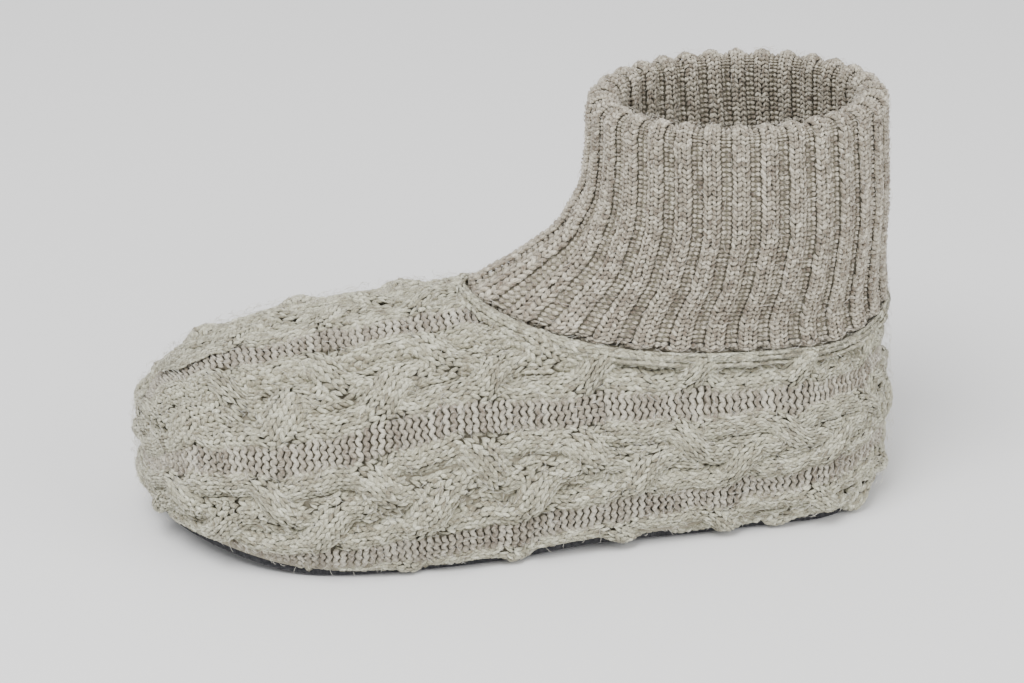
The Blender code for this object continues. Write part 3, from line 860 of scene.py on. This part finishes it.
def welded(name, points, faces, finish):
    """A closed piece whose meeting points are merged and whose faces point outwards."""
    mesh = bpy.data.meshes.new(name)
    mesh.from_pydata(points.reshape(-1, 3).tolist(), [], faces.reshape(-1, 4).tolist())
    work = bmesh.new()
    work.from_mesh(mesh)
    bmesh.ops.remove_doubles(work, verts=work.verts[:], dist=MERGED_WITHIN)
    bmesh.ops.dissolve_degenerate(work, edges=work.edges[:], dist=1e-6)
    bmesh.ops.recalc_face_normals(work, faces=work.faces[:])
    if work.calc_volume(signed=True) < 0:
        bmesh.ops.reverse_faces(work, faces=work.faces[:])
    work.to_mesh(mesh)
    work.free()
    return linked(name, mesh, finish)


def foot_back():
    """The foot's back: outer and inner wall as one loop a station, all the way round, open on the ridge.

    Ahead of the collar the left and the right loop meet on the ridge, and the strip between them is left out.
    """
    pick = np.unique(np.concatenate([np.arange(0, len(x), 3), [len(x) - 1, np.argmax(~on_ridge)]]))
    turned_in = foot_edge(wide, square, TURNED_EDGE)
    inner_curves = wall_curves(turned_in, wide - square * WALL, inner_top, angle, lean)
    inner = read_at(inner_curves, run_along(inner_curves)[:, -1:] * np.linspace(0, 1, BACK_INNER))[pick]
    height = girth[pick][:, None] * np.linspace(0, 1, BACK_OUTER)
    row = np.broadcast_to(station_run[pick][:, None] / half_run * (CHART_ROWS - 1), height.shape)
    outer = read_grid(chart, row, height / CHART_STEP)
    outer = outer - read_grid(chart_normals, row, height / CHART_STEP) * back_depth(height)[..., None]
    ridge = on_ridge[pick]
    outer[ridge, -1, 1] = 0
    outer[[0, -1], :, 1] = 0
    grid = np.concatenate([outer, inner[:, ::-1]], axis=1)
    points = np.concatenate([placed(grid), placed(grid * (1, -1, 1))[::-1]])
    number = np.arange(points.shape[0] * points.shape[1]).reshape(points.shape[:2])
    beside, far = np.roll(number, -1, axis=1), np.roll(number, -1, axis=0)
    faces = np.stack([number, beside, np.roll(beside, -1, axis=0), far], -1)
    ahead = np.concatenate([ridge, ridge[::-1]])
    solid = np.ones(number.shape, bool)
    solid[ahead & np.roll(ahead, -1), BACK_OUTER - 1] = False
    made = welded("foot_back", points, faces[solid], shaded_back_wool)
    made.data.shade_smooth()
    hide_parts("upper")


foot_back()

# Cuff
# The cuff is a separate tube of taupe wool, knitted in a two-by-two rib and folded inwards at its rim, so
# that it is double. It is sewn to the foot round the collar, under the foot's bound-off edge.

RIM_HEIGHT = 0.139
RIM_FROM_BACK = 0.0065
RIM_LENGTH = 0.097
RIM_WIDTH = 0.0765
RIM_ROLL = 0.0055
RIB_COUNT = 30
RIM_HALF = np.pi * np.sqrt((RIM_LENGTH**2 + RIM_WIDTH**2) / 8)
rim_back_x = back_x + RIM_FROM_BACK
rim_front_x = rim_back_x + RIM_LENGTH
CUFF_LEVELS = np.array(
    [
        # height, front, back, width
        (0.00, 0.00, 0.00, 0.00),
        (0.12, 0.36, 0.25, -0.12),
        (0.30, 0.76, 0.50, 0.45),
        (0.55, 0.96, 0.50, 0.84),
        (0.80, 1.00, 0.80, 0.98),
        (1.00, 1.00, 1.00, 1.00),
    ]
)
CUFF_COLUMNS = 301
CUFF_SHARES = np.linspace(0, 1, 61)
CUFF_ROUNDING = 9
cuff_table = [np.interp(CUFF_SHARES, CUFF_LEVELS[:, 0], CUFF_LEVELS[:, k]) for k in (1, 2, 3)]
cuff_table = np.array([softened(row, CUFF_ROUNDING) for row in cuff_table])
cuff_table[:, 0] = 0


def even_half(line, count):
    """A half loop's points, front to back: the rim's even steps behind, wider ones by a cube law ahead."""
    run = run_along(line[None])[0]
    spare = max(0, 1 - RIM_HALF / run[-1])
    from_back = np.linspace(1, 0, count)
    places = run[-1] * (1 - from_back - spare * (from_back**3 - from_back))
    return np.stack([np.interp(places, run, line[:, k]) for k in range(3)], 1)


def whole_loop(half):
    """A half loop on the left, front to back, carried on along its mirror image to the front again."""
    return np.concatenate([half, half[-2:0:-1] * (1, -1, 1)])


def cuff_level(share, floor):
    """The cuff's outside at a share of its height: a loop of two superellipse halves, over the seam."""
    front, back, width = (np.interp(share, CUFF_SHARES, row) for row in cuff_table)
    front_x = collar_front_x + (rim_front_x - collar_front_x) * front
    end_x = collar_back_x + (rim_back_x - collar_back_x) * back
    half = (COLLAR_WIDTH + (RIM_WIDTH - COLLAR_WIDTH) * width) / 2
    middle = heel_x + ((front_x + end_x) / 2 - heel_x) * share
    turn = np.linspace(0, np.pi, 400)
    ahead = np.cos(turn) > 0
    power = np.where(ahead, 2 / (COLLAR_FULLNESS + (2 - COLLAR_FULLNESS) * share), 1)
    reach = np.where(ahead, front_x - middle, middle - end_x) * np.sign(np.cos(turn))
    across = half * np.clip(np.sin(turn), 0, 1) ** power
    line = np.stack([middle + reach * np.abs(np.cos(turn)) ** power, across, np.zeros_like(turn)], 1)
    loop = whole_loop(even_half(line, CUFF_COLUMNS))
    loop[:, 2] = floor[:, 2] + (RIM_HEIGHT - RIM_ROLL - floor[:, 2]) * share
    return loop


def inset(loop, amount):
    """A loop moved level towards its inside."""
    run = np.roll(loop, -1, axis=0) - np.roll(loop, 1, axis=0)
    side = np.stack([run[:, 1], -run[:, 0], np.zeros(len(run))], 1)
    return loop - unit(side) * amount


TUCKED = 0.75, 0.5, 0.25
RIM_RING = len(TUCKED) + len(CUFF_SHARES) - 1
ROLL_RINGS = 24
LINING_RINGS = 47
LINING_END = 0.22


def cuff_chart():
    """Rings of the cuff's envelope: from the tuck up the outside, over the rolled rim, down the lining."""
    behind = x <= collar_front_x
    seam = whole_loop(even_half(top[behind], CUFF_COLUMNS))
    outside = [cuff_level(share, seam) for share in CUFF_SHARES[1:]]
    inside = whole_loop(even_half(inner_top[behind], CUFF_COLUMNS))
    rings = [seam + (inside - seam) * share for share in TUCKED] + [seam, *outside]
    for turn in np.linspace(0, np.pi, ROLL_RINGS + 1)[1:]:
        rolled = inset(outside[-1], RIM_ROLL * (1 - np.cos(turn)))
        rolled[:, 2] += RIM_ROLL * np.sin(turn)
        rings.append(rolled)
    for share in np.linspace(1, LINING_END, LINING_RINGS + 1)[1:]:
        wall = WALL + (2 * RIM_ROLL - WALL) * smooth(2 * share)
        rings.append(inset(cuff_level(share, seam), wall))
    return np.array(rings)


cuff_grid = placed(cuff_chart())
cuff_grid = np.concatenate([cuff_grid, cuff_grid[:, :1]], axis=1)
around = np.concatenate([cuff_grid[:, -2:-1], cuff_grid, cuff_grid[:, 1:2]], axis=1)
cuff_normals = unit(np.cross(np.gradient(around, axis=1)[:, 1:-1], np.gradient(cuff_grid, axis=0)))
cuff_rise = np.linalg.norm(np.diff(cuff_grid, axis=0), axis=2).mean(axis=1)
cuff_rise = np.concatenate([[0], np.cumsum(cuff_rise)])
cuff_round = np.linalg.norm(np.diff(cuff_grid, axis=1), axis=2).sum(axis=1)


def on_cuff(rise, turn, depth):
    """Points of the cuff: a mean length up from the tuck, a share of the way round and a depth."""
    row = np.interp(rise, cuff_rise, np.arange(len(cuff_rise)))
    column = np.mod(turn, 1) * (cuff_grid.shape[1] - 1)
    return read_grid(cuff_grid, row, column) - read_grid(cuff_normals, row, column) * depth[..., None]


def on_cuff_lengths(rise, along, depth):
    """The same with the way round given as a length at the rim."""
    return on_cuff(rise, -along / cuff_round[RIM_RING], depth)


CUFF_COURSE = 0.00158
LINING_REACH = 0.034
KNIT_DEPTH = 0.0009
KNIT_WALE = 0.296
RIB_TILT = 0.38
PURL_OFF = 0.105
PURL_DEPTH = 0.0021
PURL_BUMP = 0.0023
lining_end = cuff_rise[RIM_RING + ROLL_RINGS] + LINING_REACH
rim_pitch = cuff_round[RIM_RING] / RIB_COUNT
cuff_wool = woollen("cuff_wool", (0.18, 0.14, 0.105), (0.42, 0.375, 0.29), (0.74, 0.69, 0.57))
cuff_leg = knit_leg(length=1.75, radius=0.27, lean=(0.06, 0.40), dip=0.18, sides=5, rings=2)
purl_bump = knit_leg(length=1.15, radius=0.5, lean=(0.0, 0.0), dip=0.3, sides=5, rings=1)


def rib_places(rises, first, off):
    """A place at each rise for two wales a rib, this far to both sides of a line, in ribs."""
    across = (np.arange(RIB_COUNT)[:, None] + first + np.array([-off, off])).ravel() * rim_pitch
    rise, along = np.meshgrid(rises, across, indexing="ij")
    return np.stack([rise.ravel(), -along.ravel()], 1)


def cuff_ribs(name, low, high, seed):
    """The rib's knit wales: two to a rib, as V stitches up the cuff between two heights."""
    place = rib_places(np.arange(low, high, CUFF_COURSE), 0.5, KNIT_WALE / 2)
    way = np.broadcast_to([1.0, 0.0], place.shape)
    lean = np.sign(np.mod(-place[:, 1] / rim_pitch, 1) - 0.5) * -RIB_TILT
    rows = joined(both_legs(place, way, CUFF_COURSE, KNIT_WALE * rim_pitch, KNIT_DEPTH, lean))
    points, faces, fibre, tint = worked(on_cuff_lengths, cuff_leg, rows, seed)
    yarn_mesh(name, points, faces, cuff_wool, fibre, tint)


def cuff_grooves():
    """The rib's purl wales: a small bump for every stitch, deep between the ribs."""
    place = rib_places(np.arange(0.001, lining_end, CUFF_COURSE), 0, PURL_OFF)
    way = np.broadcast_to([0.0, 1.0], place.shape)
    rows = both_legs(place, way, PURL_BUMP, CUFF_COURSE, PURL_DEPTH, 0.0)[0]
    points, faces, fibre, tint = worked(on_cuff_lengths, purl_bump, rows, seed=31)
    yarn_mesh("cuff_grooves", points, faces, cuff_wool, fibre, tint)


# The knit wales are three pieces, so that each stays light: below the bend, above it, and from the rim on.
BEND_RING = 33
cuff_ribs("cuff_ribs_low", 0.0006, cuff_rise[BEND_RING], seed=21)
cuff_ribs("cuff_ribs_high", cuff_rise[BEND_RING] + 0.0002, cuff_rise[RIM_RING], seed=22)
cuff_ribs("cuff_ribs_rim", cuff_rise[RIM_RING] + 0.0002, lining_end, seed=23)
cuff_grooves()

CUFF_BACK_DEPTH = 0.0026


def ring_quads(rows, columns):
    """The faces of a grid that is closed on itself both ways."""
    near = np.arange(rows)[:, None] * columns + np.arange(columns)
    far = np.roll(near, -1, axis=0)
    return np.stack([near, np.roll(near, -1, axis=1), np.roll(far, -1, axis=1), far], -1).reshape(-1, 4)


def cuff_back():
    """The rib's dense back: a closed ring inside the cuff's envelope, which stands for the solid cuff, in the
    darker back wool as painted shade between the stitches.
    """
    lining = RIM_RING + ROLL_RINGS
    spans = (0, RIM_RING, 2), (RIM_RING, lining, 2), (lining, len(cuff_grid), 3)
    rows = np.concatenate([np.arange(*span) for span in spans])
    columns = np.arange(0, cuff_grid.shape[1] - 1, 6)
    points = (cuff_grid - cuff_normals * CUFF_BACK_DEPTH)[np.ix_(rows, columns)]
    faces = ring_quads(len(rows), len(columns))
    made = yarn_mesh("cuff_back", points.reshape(-1, 3), faces, shaded_back_wool)
    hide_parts("cuff")


cuff_back()

# Collar seam
# Cuff and foot are linked on the inside, and their turned edges make a soft ridge of doubled knit that fills
# the joint from below. Its wool is the back's painted shade, darker than the yarn.

SEAM_RADIUS = 0.0018
SEAM_DEPTH = 0.0053
SEAM_POINTS = 241
SEAM_SIDES = 10


def collar_seam():
    """A closed round tube along the collar line, sunk along the wall's normal: r cos a aside, r sin a over."""
    behind = x <= collar_front_x
    line = whole_loop(even_half(top[behind], SEAM_POINTS))
    under = whole_loop(even_half(inner_top[behind], SEAM_POINTS))
    sunk = (under - line) / WALL
    centre = placed(line + sunk * SEAM_DEPTH)
    run = unit(np.roll(centre, -1, axis=0) - np.roll(centre, 1, axis=0))
    side = unit(np.cross(run, sunk))
    over = np.cross(run, side)
    turn = 2 * np.pi * np.arange(SEAM_SIDES)[:, None] / SEAM_SIDES
    ring = side[:, None] * np.cos(turn) + over[:, None] * np.sin(turn)
    points = (centre[:, None] + SEAM_RADIUS * ring).reshape(-1, 3)
    yarn_mesh("collar_seam", points, ring_quads(len(centre), SEAM_SIDES), shaded_back_wool)


collar_seam()

# Fuzz
# Loose ends of wool stand off the knit all over: thin closed slivers, each bent once or twice.

HAIR_RADIUS = 0.00005
HAIR_LENGTH = 0.0018, 0.0050
HAIR_RISE = 0.0003, 0.0016
HAIR_STEPS = np.array([0, 0.35, 0.35, 0.3])
HAIR_CURL = 0.8


def hairs(name, surface, first, second, depth, finish, seed):
    """Slivers from places on a surface. Each follows a bent line outwards: a pole, two rings and a pole."""
    rng = np.random.default_rng(seed)
    count = len(first)
    start = rng.uniform(0, 2 * np.pi, count)[:, None]
    turn = start + rng.normal(0, HAIR_CURL, count)[:, None] * np.cumsum(HAIR_STEPS)
    length = rng.uniform(*HAIR_LENGTH, count)[:, None]
    along = np.cumsum(np.cos(turn) * length * HAIR_STEPS, axis=1)
    across = np.cumsum(np.sin(turn) * length * HAIR_STEPS, axis=1)
    rise = rng.uniform(*HAIR_RISE, count)[:, None] * np.array([0, 0.75, 1.0, 0.8])
    line = surface(first[:, None] + along, second[:, None] + across, depth[:, None] - rise)
    run = unit(line[:, 2:] - line[:, :-2])
    side = unit(np.cross(run, rng.normal(0, 1, (count, 1, 3))))
    over = np.cross(run, side)
    corner = 2 * np.pi * np.arange(3) / 3
    ring = side[:, :, None] * np.cos(corner)[:, None] + over[:, :, None] * np.sin(corner)[:, None]
    rings = line[:, 1:3, None] + ring * HAIR_RADIUS
    points = np.concatenate([line[:, :1], rings.reshape(count, 6, 3), line[:, 3:]], axis=1)
    faces = [(0, 2, 1), (0, 3, 2), (0, 1, 3), (7, 4, 5), (7, 5, 6), (7, 6, 4)]
    for k in range(3):
        near, beside = 1 + k, 1 + (k + 1) % 3
        faces += [(near, beside, beside + 3), (near, beside + 3, near + 3)]
    faces = np.array(faces)[None] + (np.arange(count) * 8)[:, None, None]
    yarn_mesh(name, points.reshape(-1, 3), faces.reshape(-1, 3), finish)


def grained(name, dark, light, scale, roughness, relief):
    """A finish of fine grain: noise on the place turns one colour into another and lifts the surface."""
    finish = bpy.data.materials.new(name)
    finish.use_nodes = True
    tree = finish.node_tree
    shader = tree.nodes["Principled BSDF"]
    shader.inputs["Roughness"].default_value = roughness
    shader.inputs["Specular IOR Level"].default_value = 0.2
    place = node(tree, "TexCoord")
    grain = node(tree, "TexNoise", scale=scale, detail=4)
    tree.links.new(place.outputs["Object"], grain.inputs["Vector"])
    share = node(tree, "MapRange", from_min=0.35, from_max=0.65)
    tree.links.new(grain.outputs["Fac"], share.inputs["Value"])
    blend = node(tree, "Mix", data_type="RGBA")
    blend.inputs[6].default_value = (*dark, 1)
    blend.inputs[7].default_value = (*light, 1)
    tree.links.new(share.outputs[0], blend.inputs["Factor"])
    bump = node(tree, "Bump", distance=relief)
    tree.links.new(grain.outputs["Fac"], bump.inputs["Height"])
    tree.links.new(blend.outputs[2], shader.inputs["Base Color"])
    tree.links.new(bump.outputs["Normal"], shader.inputs["Normal"])
    return finish


FOOT_HAIRS = 7000
CUFF_HAIRS = 5000
FUZZ_START = 0.007
CUFF_FUZZ_START = 0.004
FOOT_HAIR_DEPTH = 0.0002, 0.0022
CUFF_HAIR_DEPTH = 0.0003, 0.0014
foot_hair = grained("foot_hair", (0.62, 0.60, 0.52), (0.84, 0.82, 0.74), 90, 0.8, 1e-5)
cuff_hair = grained("cuff_hair", (0.58, 0.54, 0.46), (0.80, 0.76, 0.68), 90, 0.8, 1e-5)

rng = np.random.default_rng(77)
hair_run = rng.uniform(0, whole_run, FOOT_HAIRS)
hair_height = FUZZ_START + rng.uniform(0, 1, FOOT_HAIRS) * (girth_at(hair_run) - FUZZ_START)
hair_depth = rng.uniform(*FOOT_HAIR_DEPTH, FOOT_HAIRS)
hairs("foot_fuzz", round_foot, hair_run, hair_height, hair_depth, foot_hair, 78)
hair_rise = rng.uniform(CUFF_FUZZ_START, lining_end, CUFF_HAIRS)
hair_along = rng.uniform(0, cuff_round[RIM_RING], CUFF_HAIRS)
hair_depth = rng.uniform(*CUFF_HAIR_DEPTH, CUFF_HAIRS)
hairs("cuff_fuzz", on_cuff_lengths, hair_rise, hair_along, hair_depth, cuff_hair, 79)

# Sole
# The sole is a thin dark cloth sewn under the foot's turned edge, with small rubber dots on its underside.

SOLE_STRIPS = 13
DOT_RADIUS = 0.0011
DOT_HEIGHT = 0.0007
DOT_PITCH = 0.0075
DOT_SIDES = 8
DOT_SEAT = 0.0003
DOT_ROW_SHARE = 0.87
DOT_MARGIN = 0.006
DOT_INSIDE = 0.003
DOT_CLEAR = 0.002
DOT_HEEL_INSIDE = 0.010
CLOTH_GRAIN = 900
CLOTH_RELIEF = 0.0002


def woven(name, dark, light, period, roughness):
    """A cloth finish: fine grain in colour, and two crossed sets of even waves, a thread a wave, in relief."""
    finish = grained(name, dark, light, CLOTH_GRAIN, roughness, CLOTH_RELIEF)
    tree = finish.node_tree
    threads = node(tree, "Math", operation="MAXIMUM")
    for k, direction in enumerate(("X", "Y")):
        wave = node(tree, "TexWave", bands_direction=direction, scale=np.pi / 10 / period)
        wave.inputs["Distortion"].default_value = 1.5
        wave.inputs["Detail Scale"].default_value = 3
        tree.links.new(tree.nodes["Texture Coordinate"].outputs["Object"], wave.inputs["Vector"])
        tree.links.new(wave.outputs["Fac"], threads.inputs[k])
    tree.links.new(threads.outputs[0], tree.nodes["Bump"].inputs["Height"])
    return finish


def sole_cloth():
    """The sole: strips across it, along its underside, round its edge and back over its top."""
    pick = np.unique(np.concatenate([np.arange(0, len(x), 3), [len(x) - 1]]))
    edge = foot_edge(wide, square, -SOLE_LIP)[pick]
    across = np.repeat(edge[:, None], SOLE_STRIPS, axis=1)
    across[..., 1] *= np.linspace(-1, 1, SOLE_STRIPS)
    under, over = across.copy(), across[:, ::-1].copy()
    under[..., 2] = sole_rise(under[..., 0]) + DOT_HEIGHT
    over[..., 2] = sole_rise(over[..., 0]) + SOLE_THICKNESS
    grid = placed(np.concatenate([under, over], axis=1))
    cloth = woven("sole_cloth", (0.022, 0.022, 0.025), (0.050, 0.050, 0.054), 0.0011, 0.9)
    made = welded("sole_cloth", grid, tube_quads(*grid.shape[:2]).reshape(-1, 4), cloth)
    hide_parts("sole")


sole_cloth()


def sole_dots():
    """The grip: low domes in staggered rows, a dome a pitch, kept a little inside the sole's edge.

    A dome's rings are r sqrt(1 - (1 - h)^2) wide at a share h of its height.
    """
    edge = foot_edge(wide, square, DOT_INSIDE)
    edge = edge[edge[:, 1] > 0]
    along = np.arange(back_x + DOT_MARGIN, tip_x - DOT_MARGIN, DOT_PITCH * DOT_ROW_SHARE)
    inside = np.clip(1 - ((heel_x - along) / (HEEL_ROUND - DOT_HEEL_INSIDE)) ** 2, 0, 1)
    round_heel = (HEEL_WIDTH / 2 - DOT_HEEL_INSIDE) * np.sqrt(inside)
    half = np.where(along > heel_x, np.interp(-along, -edge[:, 0], edge[:, 1]), round_heel)
    shift = (np.arange(len(along)) % 2)[:, None] * DOT_PITCH / 2
    lines = np.arange(-8, 9) * DOT_PITCH + shift
    row, column = np.nonzero(np.abs(lines) < (half - DOT_CLEAR)[:, None])
    spots = np.stack([along[row], lines[row, column], sole_rise(along[row])], 1)
    turn = 2 * np.pi * np.arange(DOT_SIDES) / DOT_SIDES
    dome = [(DOT_RADIUS * np.cos(turn), DOT_RADIUS * np.sin(turn), np.full(DOT_SIDES, DOT_HEIGHT + DOT_SEAT))]
    for share in (0.55, 0.12):
        reach = DOT_RADIUS * np.sqrt(1 - (1 - share) ** 2)
        dome.append((reach * np.cos(turn), reach * np.sin(turn), np.full(DOT_SIDES, DOT_HEIGHT * share)))
    rings = np.stack([np.stack(level, 1) for level in dome]).reshape(-1, 3)
    local = np.concatenate([rings, [(0, 0, DOT_HEIGHT + DOT_SEAT), (0, 0, 0)]])
    ends = np.arange(DOT_SIDES)
    near = np.arange(2)[:, None] * DOT_SIDES + ends
    beside = np.arange(2)[:, None] * DOT_SIDES + (ends + 1) % DOT_SIDES
    quads = np.stack([near, near + DOT_SIDES, beside + DOT_SIDES, beside], -1).reshape(-1, 4)
    cap = np.stack([np.full(DOT_SIDES, 3 * DOT_SIDES), ends, (ends + 1) % DOT_SIDES], 1)
    last = 2 * DOT_SIDES
    tip = np.stack([np.full(DOT_SIDES, 3 * DOT_SIDES + 1), last + (ends + 1) % DOT_SIDES, last + ends], 1)
    faces = np.concatenate([quads[:, :3], quads[:, [0, 2, 3]], cap, tip])
    points = placed(spots)[:, None] + local[None]
    faces = faces[None] + (np.arange(len(spots)) * len(local))[:, None, None]
    rubber = grained("grip_rubber", (0.008, 0.008, 0.009), (0.018, 0.018, 0.019), 1500, 0.55, 5e-5)
    yarn_mesh("sole_dots", points.reshape(-1, 3), faces.reshape(-1, 3), rubber)


sole_dots()

# Insole
# The insole is a loose felt inside the foot. Its solid has the right shape, and gets the felt's finish.

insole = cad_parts["insole"]
felt = grained("insole_felt", (0.26, 0.24, 0.20), (0.44, 0.42, 0.36), 700, 0.95, 0.0004)
insole.data.materials.clear()
insole.data.materials.append(felt)

# Surroundings
# A plain pale floor, soft studio light from above and in front, and the camera at the photograph's angle.

floor = bpy.data.objects.new("floor", bpy.data.meshes.new("floor"))
floor.data.from_pydata([(-6, -6, 0), (6, -6, 0), (6, 6, 0), (-6, 6, 0)], [], [(0, 1, 2, 3)])
floor_paint = bpy.data.materials.new("floor_paint")
floor_paint.use_nodes = True
floor_paint.node_tree.nodes["Principled BSDF"].inputs["Base Color"].default_value = (0.80, 0.80, 0.80, 1)
floor_paint.node_tree.nodes["Principled BSDF"].inputs["Roughness"].default_value = 0.7
floor.data.materials.append(floor_paint)
bpy.context.scene.collection.objects.link(floor)

world = bpy.data.worlds.new("studio")
world.use_nodes = True
world.node_tree.nodes["Background"].inputs["Color"].default_value = (1, 1, 1, 1)
world.node_tree.nodes["Background"].inputs["Strength"].default_value = 0.95
bpy.context.scene.world = world


def soft_light(name, place, aim, size, power):
    """A square area light at a place, turned towards a point."""
    data = bpy.data.lights.new(name, "AREA")
    data.shape = "SQUARE"
    data.size = size
    data.energy = power
    lamp = bpy.data.objects.new(name, data)
    lamp.location = place
    lamp.rotation_euler = (Vector(aim) - Vector(place)).to_track_quat("-Z", "Y").to_euler()
    bpy.context.scene.collection.objects.link(lamp)


soft_light("key", (0.5, 0.5, 1.3), (0, 0, 0.05), 0.8, 26)
soft_light("fill", (-1.0, 0.9, 0.7), (0, 0, 0.05), 1.0, 11)

CAMERA_AZIMUTH = np.radians(168.8)
CAMERA_ELEVATION = np.radians(26.3)
CAMERA_DISTANCE = 0.9
CAMERA_AIM = Vector((0.002, 0.0, 0.056))
camera_data = bpy.data.cameras.new("camera")
camera_data.lens = 98
camera_data.sensor_width = 36
camera = bpy.data.objects.new("camera", camera_data)
back = Vector(
    (
        np.sin(CAMERA_AZIMUTH) * np.cos(CAMERA_ELEVATION),
        -np.cos(CAMERA_AZIMUTH) * np.cos(CAMERA_ELEVATION),
        np.sin(CAMERA_ELEVATION),
    )
)
camera.location = CAMERA_AIM + back * CAMERA_DISTANCE
camera.rotation_euler = (-back).to_track_quat("-Z", "Y").to_euler()
bpy.context.scene.collection.objects.link(camera)
bpy.context.scene.camera = camera
